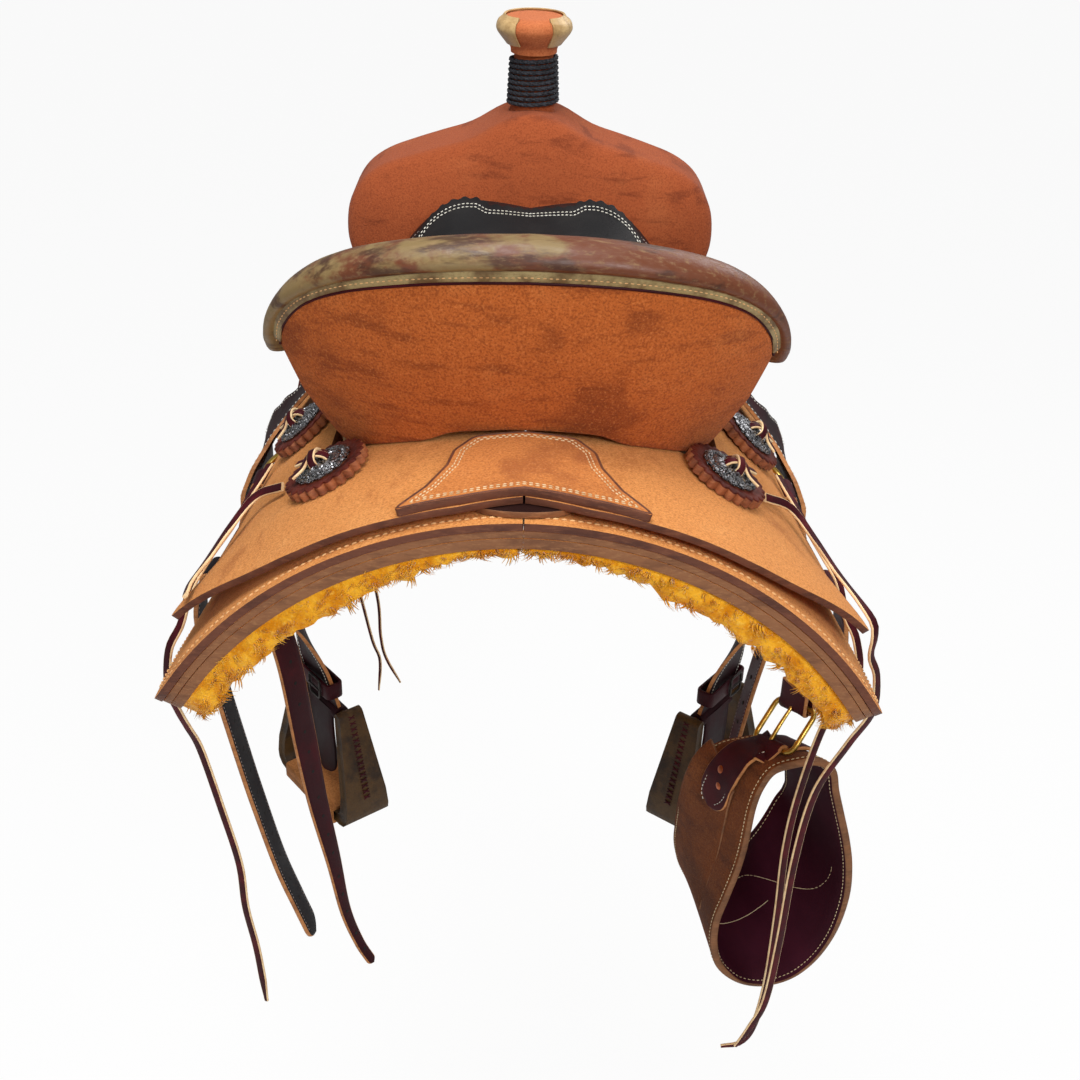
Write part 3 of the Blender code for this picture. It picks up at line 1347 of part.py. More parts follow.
def make_right_billet():
    """The short strap between the right rear dee and the cinch's buckle."""
    centre, level, down, out = dee_hinge(RIGHT, REAR_DEE_Y, REAR_DEE[2])
    half = BILLET_WIDTH / 2
    stations = [(p, level, half) for p in turn_round(centre, down, out, EYE, 0.011)]
    bar = HIGH_BAR
    reach = BUCKLE_WIRE / 2 + SLACK + STRAP_THICKNESS / 2
    foot = bar + CINCH_ACROSS * reach
    line = [stations[-1][0]] + [Vector((x, REAR_DEE_Y, z)) for x, z in REAR_BILLET_RIGHT]
    line += [foot + Vector((0, 0, 0.030)), foot]
    for k, place in enumerate(sampled(line, 9)[1:], 1):
        stations.append((place, level.lerp(CINCH_ALONG, smoothstep(k / 8, 0.2, 0.9)), half))
    for k in range(1, 7):
        angle = math.pi * k / 6
        place = bar + CINCH_ACROSS * reach * math.cos(angle) - Vector((0, 0, reach * math.sin(angle)))
        stations.append((place, CINCH_ALONG, half))
    stations.append((bar - CINCH_ACROSS * reach + Vector((0, 0, 0.022)), CINCH_ALONG, half))
    strap("rear_billet_right", stations, STRAP_THICKNESS, "black_leather")


# Saddle strings

REAR_START = [(0.201, -0.206, 0.0180), (0.230, -0.190, 0.0225), (0.255, -0.212, 0.0220)]
MIDDLE_START = [(0.249, -0.082, 0.0180), (0.268, -0.120, 0.0180)]
STRINGS = (
    ("string_left_rear", LEFT, STRING_RADIUS,
     REAR_START + [(0.266, -0.255, 0.0225), (0.266, -0.300, 0.0258), (0.262, -0.328, 0.0262)], []),
    ("string_right_rear", RIGHT, STRING_RADIUS,
     REAR_START + [(0.270, -0.250, 0.0230), (0.281, -0.290, 0.0268), (0.292, -0.306, 0.0272),
                   (0.302, -0.309, 0.0215), (0.318, -0.306, 0.0110), (0.342, -0.300, 0.0075)],
     [(0.2900, -0.292, -0.158), (0.2780, -0.280, -0.202), (0.2590, -0.272, -0.262), (0.2510, -0.270, -0.342),
      (0.2485, -0.270, -0.442), (0.2440, -0.270, -0.522), (0.2330, -0.270, -0.560), (0.2210, -0.270, -0.588)]),
    ("string_left_middle", LEFT, STRING_RADIUS,
     MIDDLE_START + [(0.276, -0.170, 0.0172), (0.285, -0.220, 0.0192), (0.298, -0.256, 0.0180),
                     (0.318, -0.275, 0.0095), (0.342, -0.281, 0.0075)],
     [(0.2900, -0.279, -0.158), (0.2865, -0.270, -0.190), (0.2830, -0.262, -0.212), (0.2770, -0.254, -0.242),
      (0.2670, -0.248, -0.311), (0.2570, -0.244, -0.383), (0.2560, -0.242, -0.440), (0.2500, -0.240, -0.499),
      (0.2460, -0.240, -0.569)]),
    ("string_right_middle", RIGHT, STRING_RADIUS,
     MIDDLE_START + [(0.276, -0.162, 0.0172), (0.285, -0.190, 0.0175), (0.299, -0.214, 0.0170),
                     (0.318, -0.232, 0.0090), (0.342, -0.240, 0.0075)],
     [(0.2870, -0.244, -0.160), (0.2680, -0.238, -0.210), (0.2550, -0.236, -0.290), (0.2500, -0.236, -0.360),
      (0.2510, -0.238, -0.440), (0.2500, -0.240, -0.530), (0.2440, -0.240, -0.590), (0.2330, -0.240, -0.618),
      (0.2130, -0.240, -0.624)]),
    ("string_front_left_a", LEFT, THIN_STRING_RADIUS,
     [(0.232, 0.292, 0.0085), (0.270, 0.296, 0.0050), (0.310, 0.298, 0.0034), (0.342, 0.300, 0.0038)],
     [(0.2660, 0.300, -0.165), (0.2400, 0.300, -0.270), (0.2100, 0.300, -0.420), (0.1950, 0.300, -0.500),
      (0.1860, 0.300, -0.532), (0.1890, 0.300, -0.581)]),
    ("string_front_left_b", LEFT, THIN_STRING_RADIUS,
     [(0.232, 0.304, 0.0085), (0.270, 0.310, 0.0050), (0.310, 0.312, 0.0034), (0.342, 0.314, 0.0038)],
     [(0.2640, 0.314, -0.165), (0.2300, 0.312, -0.270), (0.1900, 0.310, -0.423), (0.1850, 0.310, -0.500),
      (0.1790, 0.310, -0.535), (0.1610, 0.310, -0.575)]),
)


def make_strings():
    """Each string lies on the leather at (s, y, height) and then hangs through (x, y, z)."""
    for name, side, radius, laid, hung in STRINGS:
        points = [BACK.at(side * s, y, w) for s, y, w in laid]
        points += [Vector((side * x, y, z)) for x, y, z in hung]
        length = sum((b - a).length for a, b in zip(points, points[1:]))
        tube(name, sampled(points, int(length / 0.020)), radius, 0, "black_leather")


def main():
    for thing in list(bpy.data.objects):
        bpy.data.objects.remove(thing)
    for name, values in FINISHES.items():
        MATERIALS[name] = finish(name, *values)
    make_skirts()
    make_jockeys()
    make_back_plate()
    make_bars()
    make_fork()
    make_cantle()
    make_roll()
    make_seat()
    make_horn()
    make_rosettes()
    for side, word in SIDES:
        make_fender(side, word)
        make_hobble(side, word)
        make_stirrup(side, word)
    make_rigging()
    make_strings()


MATERIALS = {}
main()
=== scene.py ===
"""The looks of the mule saddle: its leather, wool, cords and metal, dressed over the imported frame."""

import math
import random

import bmesh
import bpy
from mathutils import Matrix, Vector, noise


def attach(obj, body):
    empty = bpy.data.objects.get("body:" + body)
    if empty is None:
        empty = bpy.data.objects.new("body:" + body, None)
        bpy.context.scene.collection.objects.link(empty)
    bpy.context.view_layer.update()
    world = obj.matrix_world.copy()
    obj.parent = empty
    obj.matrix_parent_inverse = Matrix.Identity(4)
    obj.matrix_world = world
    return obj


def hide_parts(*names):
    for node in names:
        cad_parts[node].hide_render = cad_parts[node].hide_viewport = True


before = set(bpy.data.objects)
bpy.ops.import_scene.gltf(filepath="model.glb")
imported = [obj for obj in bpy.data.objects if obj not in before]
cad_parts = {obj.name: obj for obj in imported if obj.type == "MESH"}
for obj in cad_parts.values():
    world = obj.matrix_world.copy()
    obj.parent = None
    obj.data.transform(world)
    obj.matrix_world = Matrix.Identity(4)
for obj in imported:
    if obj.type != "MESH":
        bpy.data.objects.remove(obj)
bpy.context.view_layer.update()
LEFT, RIGHT = -1, 1
SIDES = ((LEFT, "left"), (RIGHT, "right"))


# Finishes

def shade(red, green, blue):
    """A colour written as a screen shows it, turned into the light it stands for."""
    return tuple((c / 255 / 12.92) if c < 11 else ((c / 255 + 0.055) / 1.055) ** 2.4 for c in (red, green, blue))


class Value:
    """A shader socket that can stand in a sum."""

    def __init__(self, finish, socket):
        self.finish = finish
        self.socket = socket

    def maths(self, operation, *values):
        return self.finish.node("ShaderNodeMath", {"operation": operation}, dict(enumerate(values)))

    def __add__(self, other):
        return self.maths("ADD", self, other)

    def __sub__(self, other):
        return self.maths("SUBTRACT", self, other)

    def __rsub__(self, other):
        return self.maths("SUBTRACT", other, self)

    def __mul__(self, other):
        return self.maths("MULTIPLY", self, other)

    def __truediv__(self, other):
        return self.maths("DIVIDE", self, other)

    __radd__ = __add__
    __rmul__ = __mul__


class Finish:
    """One procedural material, drawn through short calls."""

    def __init__(self, name, **plain):
        self.material = bpy.data.materials.new(name)
        self.material.use_nodes = True
        self.tree = self.material.node_tree
        self.shader = self.tree.nodes["Principled BSDF"]
        for socket, value in plain.items():
            self.set(socket.replace("_", " "), value)

    def node(self, kind, settings=None, inputs=None, out=0):
        made = self.tree.nodes.new(kind)
        for key, value in (settings or {}).items():
            setattr(made, key, value)
        for key, value in (inputs or {}).items():
            self.feed(made.inputs[key], value)
        return Value(self, made.outputs[out])

    def feed(self, socket, value):
        if isinstance(value, Value):
            self.tree.links.new(value.socket, socket)
        elif isinstance(value, tuple) and len(value) == 3 and socket.type == "RGBA":
            socket.default_value = (*value, 1.0)
        else:
            socket.default_value = value

    def set(self, name, value):
        self.feed(self.shader.inputs[name], value)

    def place(self, stretch=(1, 1, 1), turn=(0, 0, 0)):
        where = self.node("ShaderNodeTexCoord", out=3)
        return self.node("ShaderNodeMapping", None, {"Vector": where, "Scale": stretch, "Rotation": turn})

    def noise(self, scale, detail=3.0, rough=0.55, where=None):
        return self.node("ShaderNodeTexNoise", None, {
            "Vector": where or self.place(), "Scale": scale, "Detail": detail, "Roughness": rough})

    def cells(self, scale, feature="F1", where=None):
        return self.node("ShaderNodeTexVoronoi", {"feature": feature}, {
            "Vector": where or self.place(), "Scale": scale})

    def between(self, value, low, high, to_low=0.0, to_high=1.0):
        return self.node("ShaderNodeMapRange", {"interpolation_type": "SMOOTHSTEP"}, {
            "Value": value, "From Min": low, "From Max": high, "To Min": to_low, "To Max": to_high})

    def mix(self, share, first, second):
        return self.node("ShaderNodeMix", {"data_type": "RGBA"}, {0: share, 6: first, 7: second}, out=2)

    def bump(self, height, distance, strength=1.0):
        self.set("Normal", self.node("ShaderNodeBump", None, {
            "Height": height, "Distance": distance, "Strength": strength}))


def suede(name, body, stain, pale, nap=1.0, stained=0.55, tuft=420):
    """Rough-out leather: a short nap of clumped fibre, cloudy stains and pale tips."""
    finish = Finish(name, Roughness=0.95, Sheen_Weight=0.05, Sheen_Roughness=0.5, Specular_IOR_Level=0.12)
    clouds = finish.noise(11, 5, 0.62)
    smears = finish.noise(16, 4, 0.6, finish.place((1.0, 1.0, 4.5)))
    clumps = finish.noise(tuft, 2, 0.6)
    fibres = finish.noise(tuft * 2.6, 3, 0.7)
    colour = finish.mix(finish.between(clouds, stained, stained + 0.14, 0.0, 0.6), body, stain)
    colour = finish.mix(finish.between(smears, stained, stained + 0.16, 0.0, 0.55), colour, stain)
    colour = finish.mix(finish.between(clouds, 0.28, 0.46, 0.4, 0.0), colour, pale)
    colour = finish.mix(finish.between(clumps, 0.36, 0.52, 0.30 + 0.30 * nap, 0.0), colour, stain)
    colour = finish.mix(finish.between(clumps + fibres * 0.4, 0.76, 0.94, 0.0, 0.35 + 0.25 * nap), colour, pale)
    finish.set("Base Color", colour)
    finish.bump(clumps + fibres * 0.5, 0.0016 * nap, 0.9)
    return finish.material


def smooth_leather(name, body, worn, roughness=0.42, grain=0.00025, clouds=16):
    finish = Finish(name, Specular_IOR_Level=0.11)
    cloud = finish.noise(clouds, 4, 0.6)
    pores = finish.cells(900)
    fine = finish.noise(500, 3, 0.6)
    colour = finish.mix(finish.between(cloud, 0.42, 0.68, 0.0, 0.85), body, worn)
    colour = finish.mix(finish.between(fine, 0.52, 0.70, 0.0, 0.25), colour, worn)
    finish.set("Base Color", colour)
    finish.set("Roughness", finish.between(cloud, 0.3, 0.7, roughness, roughness + 0.16))
    finish.bump(pores * 0.6 + fine * 0.5, grain, 0.7)
    return finish.material


def leather_edge(name, body, dark, pale):
    """The cut edge of leather: rubbed, with the plies just showing."""
    finish = Finish(name, Roughness=0.62, Specular_IOR_Level=0.3)
    rubs = finish.noise(26, 5, 0.65, finish.place((1.0, 1.0, 3.5)))
    grit = finish.noise(260, 4, 0.7, finish.place((0.5, 0.5, 2.0)))
    colour = finish.mix(finish.between(rubs, 0.40, 0.66, 0.0, 0.65), body, dark)
    colour = finish.mix(finish.between(grit, 0.48, 0.72, 0.0, 0.45), colour, pale)
    finish.set("Base Color", colour)
    finish.bump(grit + rubs * 0.5, 0.0006, 0.7)
    return finish.material


def roll_rawhide(name):
    """Dried hide: olive-tan and red-brown hair patches, browner to the right, under a dull shine."""
    finish = Finish(name, Specular_IOR_Level=0.36)
    where = finish.node("ShaderNodeTexCoord", out=3)
    across = finish.node("ShaderNodeSeparateXYZ", None, {0: where})
    patches = finish.noise(15, 5, 0.62, finish.place((1.0, 1.2, 1.4))) + across * 0.55
    along = finish.noise(26, 4, 0.6, finish.place((0.6, 2.4, 2.4)))
    hairs = finish.noise(240, 4, 0.7, finish.place((0.35, 1.0, 1.0)))
    colour = finish.mix(finish.between(patches, 0.40, 0.52), shade(126, 104, 66), shade(100, 54, 32))
    colour = finish.mix(finish.between(along, 0.50, 0.64, 0.0, 0.85), colour, shade(62, 34, 21))
    colour = finish.mix(finish.between(along + hairs * 0.3, 0.36, 0.48, 0.40, 0.0), colour, shade(150, 126, 84))
    colour = finish.mix(finish.between(hairs, 0.50, 0.70, 0.0, 0.40), colour, shade(148, 120, 80))
    finish.set("Base Color", colour)
    finish.set("Roughness", finish.between(hairs, 0.35, 0.65, 0.34, 0.54))
    finish.bump(hairs * 0.5 + along * 0.6, 0.0009, 0.6)
    return finish.material


def pale_rawhide(name, body, shadow, gloss=0.42):
    finish = Finish(name, Roughness=gloss, Specular_IOR_Level=0.28)
    clouds = finish.noise(42, 4, 0.6)
    fibres = finish.noise(340, 3, 0.65, finish.place((1.0, 1.0, 2.2)))
    colour = finish.mix(finish.between(clouds, 0.40, 0.68), body, shadow)
    colour = finish.mix(finish.between(fibres, 0.48, 0.70, 0.0, 0.45), colour, shadow)
    finish.set("Base Color", colour)
    finish.bump(fibres + clouds * 0.6, 0.0006, 0.7)
    return finish.material


def wool(name):
    finish = Finish(name, Roughness=1.0, Sheen_Weight=0.35, Sheen_Roughness=0.4, Specular_IOR_Level=0.05)
    locks = finish.noise(62, 4, 0.65)
    curls = finish.noise(330, 3, 0.7)
    # Tone swings between clumps and pale curl tips: partly the wool's own colour, partly painted shade between the
    # clumps and painted highlight on the tips.
    colour = finish.mix(finish.between(locks, 0.36, 0.64), shade(214, 134, 14), shade(244, 178, 44))
    colour = finish.mix(finish.between(curls, 0.52, 0.70, 0.0, 0.5), colour, shade(252, 206, 92))
    colour = finish.mix(finish.between(curls, 0.30, 0.44, 0.35, 0.0), colour, shade(178, 104, 10))
    finish.set("Base Color", colour)
    finish.bump(curls + locks * 0.8, 0.0020, 0.9)
    return finish.material


def thread(name, body, dark):
    finish = Finish(name, Roughness=0.7, Specular_IOR_Level=0.25)
    soil = finish.noise(60, 3, 0.6)
    twist = finish.node("ShaderNodeTexWave", {"wave_type": "BANDS", "bands_direction": "DIAGONAL"}, {
        "Vector": finish.place(), "Scale": 600, "Distortion": 1.0})
    finish.set("Base Color", finish.mix(finish.between(soil, 0.45, 0.75), body, dark))
    finish.bump(twist, 0.0002, 0.6)
    return finish.material


def silver(name):
    """Cast silver with dark oxide left in its low places."""
    finish = Finish(name, Metallic=1.0)
    scrolls = finish.cells(330, "DISTANCE_TO_EDGE")
    scratches = finish.noise(300, 3, 0.7)
    low = finish.between(scrolls, 0.02, 0.12)
    colour = finish.mix(low, shade(16, 16, 18), shade(158, 158, 161))
    colour = finish.mix(finish.between(scratches, 0.55, 0.7, 0.0, 0.4), colour, shade(110, 110, 112))
    finish.set("Base Color", colour)
    finish.set("Roughness", finish.between(scratches, 0.3, 0.7, 0.22, 0.42))
    finish.bump(low, 0.0006, 0.9)
    return finish.material


def brass(name, body, tarnish, roughness=0.26):
    finish = Finish(name, Metallic=1.0)
    clouds = finish.noise(70, 4, 0.6)
    scratches = finish.noise(420, 3, 0.7)
    finish.set("Base Color", finish.mix(finish.between(clouds, 0.42, 0.70, 0.0, 0.8), body, tarnish))
    finish.set("Roughness", finish.between(clouds + scratches * 0.4, 0.5, 1.0, roughness, roughness + 0.2))
    finish.bump(scratches, 0.00012, 0.6)
    return finish.material


def tree_wood(name):
    finish = Finish(name, Roughness=0.6)
    grain = finish.noise(38, 5, 0.6, finish.place((6.0, 0.5, 6.0)))
    finish.set("Base Color", finish.mix(finish.between(grain, 0.35, 0.68), shade(196, 158, 108), shade(140, 98, 58)))
    finish.bump(grain, 0.0006, 0.7)
    return finish.material


def black_cord(name):
    finish = Finish(name, Roughness=0.72, Specular_IOR_Level=0.3)
    fibres = finish.noise(900, 3, 0.7, finish.place((1.0, 1.0, 0.4)))
    wear = finish.noise(80, 3, 0.6)
    colour = finish.mix(finish.between(fibres, 0.42, 0.68), shade(26, 27, 31), shade(66, 69, 78))
    finish.set("Base Color", finish.mix(finish.between(wear, 0.5, 0.75, 0.0, 0.4), colour, shade(84, 87, 96)))
    finish.bump(fibres, 0.0005, 0.8)
    return finish.material


TAN_SUEDE = suede("tan rough-out", shade(214, 142, 76), shade(168, 96, 44), shade(238, 174, 106), 0.8, 0.57, 560)
PLATE_SUEDE = suede("plate rough-out", shade(200, 124, 62), shade(150, 80, 38), shade(224, 154, 90), 0.7, 0.54, 560)
RUST_SUEDE = suede("rust rough-out", shade(186, 98, 44), shade(118, 54, 26), shade(218, 134, 74), 0.7, 0.52, 560)
SWELL_LEATHER = suede("oiled swell leather", shade(154, 76, 42), shade(98, 42, 24), shade(172, 96, 56), 0.25, 0.54, 620)
HORN_LEATHER = suede("horn leather", shade(188, 106, 64), shade(140, 66, 38), shade(206, 128, 84), 0.25, 0.55, 620)
CINCH_SUEDE = suede("cinch rough-out", shade(112, 60, 28), shade(66, 34, 18), shade(146, 90, 50), 0.6, 0.50, 560)
TREAD_SUEDE = suede("tread rough-out", shade(166, 108, 60), shade(108, 66, 34), shade(190, 134, 84), 0.5, 0.52, 560)
EDGE = leather_edge("plied edge", shade(136, 90, 58), shade(92, 56, 38), shade(172, 124, 82))
DARK_EDGE = leather_edge("burnished edge", shade(102, 58, 40), shade(64, 34, 26), shade(134, 84, 58))
CINCH_EDGE = leather_edge("cinch edge", shade(128, 84, 52), shade(84, 52, 32), shade(160, 114, 76))
TAN_EDGE = leather_edge("raw tan edge", shade(178, 118, 68), shade(126, 78, 46), shade(214, 160, 106))
CREAM_EDGE = leather_edge("lace edge", shade(238, 206, 158), shade(196, 150, 102), shade(250, 226, 186))
DARK_LEATHER = smooth_leather("dark oiled leather", shade(38, 20, 18), shade(58, 30, 26), 0.42)
ROSETTE_LEATHER = smooth_leather("rosette leather", shade(92, 38, 28), shade(52, 20, 18), 0.46, 0.0003, 60)
ROSETTE_EDGE = leather_edge("rosette edge", shade(146, 84, 50), shade(84, 40, 28), shade(182, 122, 80))
SEAT_LEATHER = smooth_leather("black seat leather", shade(26, 25, 26), shade(36, 34, 34), 0.46, 0.0003)
BLACK_LEATHER = smooth_leather("black strap leather", shade(17, 13, 17), shade(30, 23, 28), 0.50)
BURGUNDY = smooth_leather("burgundy leather", shade(48, 11, 18), shade(70, 20, 27), 0.44)
FENDER_LEATHER = smooth_leather("fender leather", shade(30, 10, 14), shade(50, 17, 22), 0.46)
LINING = smooth_leather("burgundy lining", shade(50, 10, 24), shade(64, 18, 34), 0.6, 0.0002, 10)
LACE = smooth_leather("burgundy lace", shade(54, 12, 20), shade(90, 28, 34), 0.46, 0.0002, 40)
ROLL = roll_rawhide("mottled rawhide")
STRIP = pale_rawhide("rawhide strip", shade(156, 138, 94), shade(98, 74, 44))
CAP_RAWHIDE = pale_rawhide("rawhide cap", shade(198, 166, 116), shade(150, 116, 72), 0.36)
STIRRUP_RAWHIDE = pale_rawhide("stirrup rawhide", shade(74, 52, 24), shade(42, 27, 13), 0.55)
WOOL = wool("golden woolskin")
WHITE_THREAD = thread("white thread", shade(226, 222, 210), shade(190, 184, 168))
TAN_THREAD = thread("tan thread", shade(226, 178, 122), shade(190, 140, 90))
CREAM_THREAD = thread("cream thread", shade(222, 200, 160), shade(180, 152, 112))
GREY_THREAD = thread("grey thread", shade(150, 138, 134), shade(110, 98, 96))
SILVER = silver("engraved silver")
BRASS = brass("yellow brass", shade(214, 178, 92), shade(150, 116, 52))
COPPER = brass("copper rivet", shade(196, 112, 74), shade(130, 66, 44))
STEEL = brass("dark steel", shade(62, 58, 56), shade(36, 32, 30), 0.40)
WOOD = tree_wood("tree wood")
CORD = black_cord("black horn cord")


# Shapes

def smoothstep(value, low, high):
    t = min(1.0, max(0.0, (value - low) / (high - low)))
    return t * t * (3 - 2 * t)


def through(points, share):
    """A place on the smooth curve through points, share running from 0 to 1."""
    spans = len(points) - 1
    at = min(spans - 1e-9, max(0.0, share * spans))
    i = int(at)
    t = at - i
    p1, p2 = Vector(points[i]), Vector(points[i + 1])
    p0 = Vector(points[i - 1]) if i else p1 * 2 - p2
    p3 = Vector(points[i + 2]) if i + 2 <= spans else p2 * 2 - p1
    return 0.5 * (2 * p1 + (p2 - p0) * t + (2 * p0 - 5 * p1 + 4 * p2 - p3) * t * t
                  + (3 * p1 - p0 - 3 * p2 + p3) * t ** 3)


def sampled(points, count):
    """count points at even steps of length along the smooth curve through points."""
    fine = [through(points, k / (16 * len(points))) for k in range(16 * len(points) + 1)]
    lengths = [0.0]
    for one, two in zip(fine, fine[1:]):
        lengths.append(lengths[-1] + (two - one).length)
    found, i = [], 0
    for k in range(count):
        goal = lengths[-1] * k / (count - 1)
        while i < len(fine) - 2 and lengths[i + 1] < goal:
            i += 1
        span = max(1e-12, lengths[i + 1] - lengths[i])
        found.append(fine[i].lerp(fine[i + 1], min(1.0, (goal - lengths[i]) / span)))
    return found


def path_length(points):
    return sum((b - a).length for a, b in zip(points, points[1:]))


def rounded(corners, steps=6):
    """A flat outline from corners (x, y) or (x, y, radius), with an arc at each radius."""
    found = []
    for i, corner in enumerate(corners):
        here = Vector(corner[:2])
        if len(corner) < 3:
            found.append(here)
            continue
        before = Vector(corners[i - 1][:2]) - here
        after = Vector(corners[(i + 1) % len(corners)][:2]) - here
        half = before.angle(after) / 2
        reach = min(corner[2] / math.tan(half), 0.45 * before.length, 0.45 * after.length)
        radius = reach * math.tan(half)
        centre = here + (before.normalized() + after.normalized()).normalized() * radius / math.sin(half)
        start = here + before.normalized() * reach - centre
        sweep = start.angle_signed(here + after.normalized() * reach - centre)
        for k in range(steps + 1):
            found.append(centre + Matrix.Rotation(-sweep * k / steps, 2) @ start)
    return found


def mirrored(outline, side):
    return outline if side == RIGHT else [Vector((-p[0], p[1])) for p in reversed(outline)]


def inset(outline, distance):
    """The same outline, with every side moved in by distance."""
    area = sum(a.x * b.y - b.x * a.y for a, b in zip(outline, outline[1:] + outline[:1]))
    turn = 1 if area > 0 else -1
    found = []
    for i, here in enumerate(outline):
        before = (here - outline[i - 1]).normalized()
        after = (outline[(i + 1) % len(outline)] - here).normalized()
        normal = Vector((-(before.y + after.y), before.x + after.x)).normalized() * turn
        side = Vector((-before.y, before.x)) * turn
        found.append(here + normal * distance / max(0.4, normal.dot(side)))
    return found


def spaced(outline, step):
    """Points at even steps round a closed outline."""
    loop = outline + outline[:1]
    total = path_length(loop)
    count = max(8, round(total / step))
    found, travelled, i = [], 0.0, 0
    for k in range(count):
        goal = total * k / count
        while travelled + (loop[i + 1] - loop[i]).length < goal:
            travelled += (loop[i + 1] - loop[i]).length
            i += 1
        found.append(loop[i].lerp(loop[i + 1], (goal - travelled) / max(1e-12, (loop[i + 1] - loop[i]).length)))
    return found


def piece(name, bm, materials, body="saddle", replaces=(), slot=None, sharp=50, merge=1e-6):
    """Makes a mesh piece of the bmesh, and hands it to the frame."""
    if merge:
        bmesh.ops.remove_doubles(bm, verts=bm.verts, dist=merge)
    bmesh.ops.recalc_face_normals(bm, faces=bm.faces)
    mesh = bpy.data.meshes.new(name)
    bm.to_mesh(mesh)
    bm.free()
    for material in materials:
        mesh.materials.append(material)
    mesh.shade_smooth()
    mesh.set_sharp_from_angle(angle=math.radians(sharp))
    thing = bpy.data.objects.new(name, mesh)
    bpy.context.scene.collection.objects.link(thing)
    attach(thing, body)
    if replaces:
        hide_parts(*replaces)
    return thing


def extrude_through(bm, rings, ends=True, paint=None):
    """Draws a closed ring of points out through every following one. The paint of a row and
    a column is the number of that side's material."""
    ring = [bm.verts.new(p) for p in rings[0]]
    edges = [bm.edges.new((ring[k - 1], ring[k])) for k in range(len(ring))]
    caps = [bm.faces.new(ring)] if ends else []
    for row, places in enumerate(rings[1:]):
        made = bmesh.ops.extrude_edge_only(bm, edges=edges)["geom"]
        edges = [e for e in made if isinstance(e, bmesh.types.BMEdge)]
        number = {vert: k for k, vert in enumerate(ring)}
        if paint:
            for face in (f for f in made if isinstance(f, bmesh.types.BMFace)):
                held = sorted(number[v] for v in face.verts if v in number)
                face.material_index = paint(row, 0 if held == [0, len(ring) - 1] else held[1])
        for vert in (v for v in made if isinstance(v, bmesh.types.BMVert)):
            for edge in vert.link_edges:
                known = number.get(edge.other_vert(vert))
                if known is not None:
                    ring[known] = vert
        for vert, place in zip(ring, places):
            vert.co = place
    if ends:
        caps.append(bm.faces.new(ring))
    for cap in caps:
        cap.material_index = paint(0, 0) if paint else 0
    return ring


class Stamp:
    """A small shape made once, and pressed into a piece as often as it is needed."""

    def __init__(self, draw):
        bm = bmesh.new()
        draw(bm)
        bm.verts.index_update()
        self.places = [v.co.copy() for v in bm.verts]
        self.faces = [[v.index for v in f.verts] for f in bm.faces]
        bm.free()

    def press(self, bm, place):
        verts = [bm.verts.new(place @ p) for p in self.places]
        for face in self.faces:
            bm.faces.new([verts[k] for k in face])


GRAIN = Stamp(lambda bm: bmesh.ops.create_uvsphere(bm, u_segments=6, v_segments=4, radius=1,
                                                   matrix=Matrix.Rotation(math.pi / 2, 4, "Y")))


def wire(bm, points, radius, sides=8, closed=False, spin=0.0):
    """Round wire along points; spin turns its sides so that a strand's facets follow its twist."""
    rings = []
    count = len(points)
    up = None
    for i, here in enumerate(points):
        ahead = points[(i + 1) % count] if closed or i + 1 < count else here
        behind = points[i - 1] if closed or i else here
        along = (ahead - behind).normalized()
        if up is None:
            up = along.orthogonal().normalized()
        up = (up - along * up.dot(along)).normalized()
        out = along.cross(up)
        r = radius[i] if isinstance(radius, list) else radius
        rings.append([here + r * (up * math.cos(t) + out * math.sin(t))
                      for t in (2 * math.pi * k / sides + spin * i for k in range(sides))])
    if closed:
        last = extrude_through(bm, rings, ends=False)
        offset = min(range(sides), key=lambda k: (last[k].co - rings[0][0]).length)
        first = [min(bm.verts, key=lambda v: (v.co - p).length_squared) for p in rings[0]]
        for k in range(sides):
            a, b = last[(offset + k) % sides], last[(offset + k + 1) % sides]
            bm.faces.new((a, b, first[(k + 1) % sides], first[k]))
    else:
        extrude_through(bm, rings)


def strap_rings(stations, thickness, crown=0.0006, columns=6):
    """Sections of a flat strap through (place, across, half width), its edges rounded."""
    rings = []
    for i, (here, across, half) in enumerate(stations):
        before = stations[max(0, i - 1)][0]
        after = stations[min(len(stations) - 1, i + 1)][0]
        across = across.normalized()
        face = (after - before).cross(across).normalized()
        across = face.cross((after - before).normalized())
        t = thickness / 2
        soft = min(t * 0.6, half * 0.5)
        ring = []
        for k in range(columns + 1):
            a = 2 * k / columns - 1
            ring.append(here + across * (half - soft) * a + face * (t + crown * (1 - a * a)))
        ring += [here + across * (half - soft * 0.3) + face * t * 0.7, here + across * half,
                 here + across * (half - soft * 0.3) - face * t * 0.7]
        for k in range(columns + 1):
            a = 1 - 2 * k / columns
            ring.append(here + across * (half - soft) * a - face * t)
        ring += [here - across * (half - soft * 0.3) - face * t * 0.7, here - across * half,
                 here - across * (half - soft * 0.3) + face * t * 0.7]
        rings.append(ring)
    return rings


def strap(name, stations, thickness, materials, columns=6, **where):
    """A flat strap. The second material is on its edges, and the third on its back."""
    def paint(_, k):
        if k == 0 or columns + 1 <= k <= columns + 4 or k > 2 * columns + 4:
            return min(1, len(materials) - 1)
        return 0 if k <= columns or len(materials) < 3 else 2

    bm = bmesh.new()
    extrude_through(bm, strap_rings(stations, thickness, columns=columns), paint=paint)
    return piece(name, bm, materials, merge=0, **where)


def stitch_row(bm, places, normals, length, width, sink=0.35):
    """Thread over the leather: one plump stitch at each place, laid along the row."""
    count = len(places)
    for i, here in enumerate(places):
        ahead = places[min(count - 1, i + 1)] - places[max(0, i - 1)]
        if ahead.length < 1e-9:
            continue
        along = ahead.normalized()
        up = (normals[i] - along * normals[i].dot(along)).normalized()
        out = along.cross(up)
        frame_of = Matrix((along * length / 2, out * width / 2, up * width / 2)).transposed().to_4x4()
        frame_of.translation = here + up * width * (0.5 - sink)
        GRAIN.press(bm, frame_of)


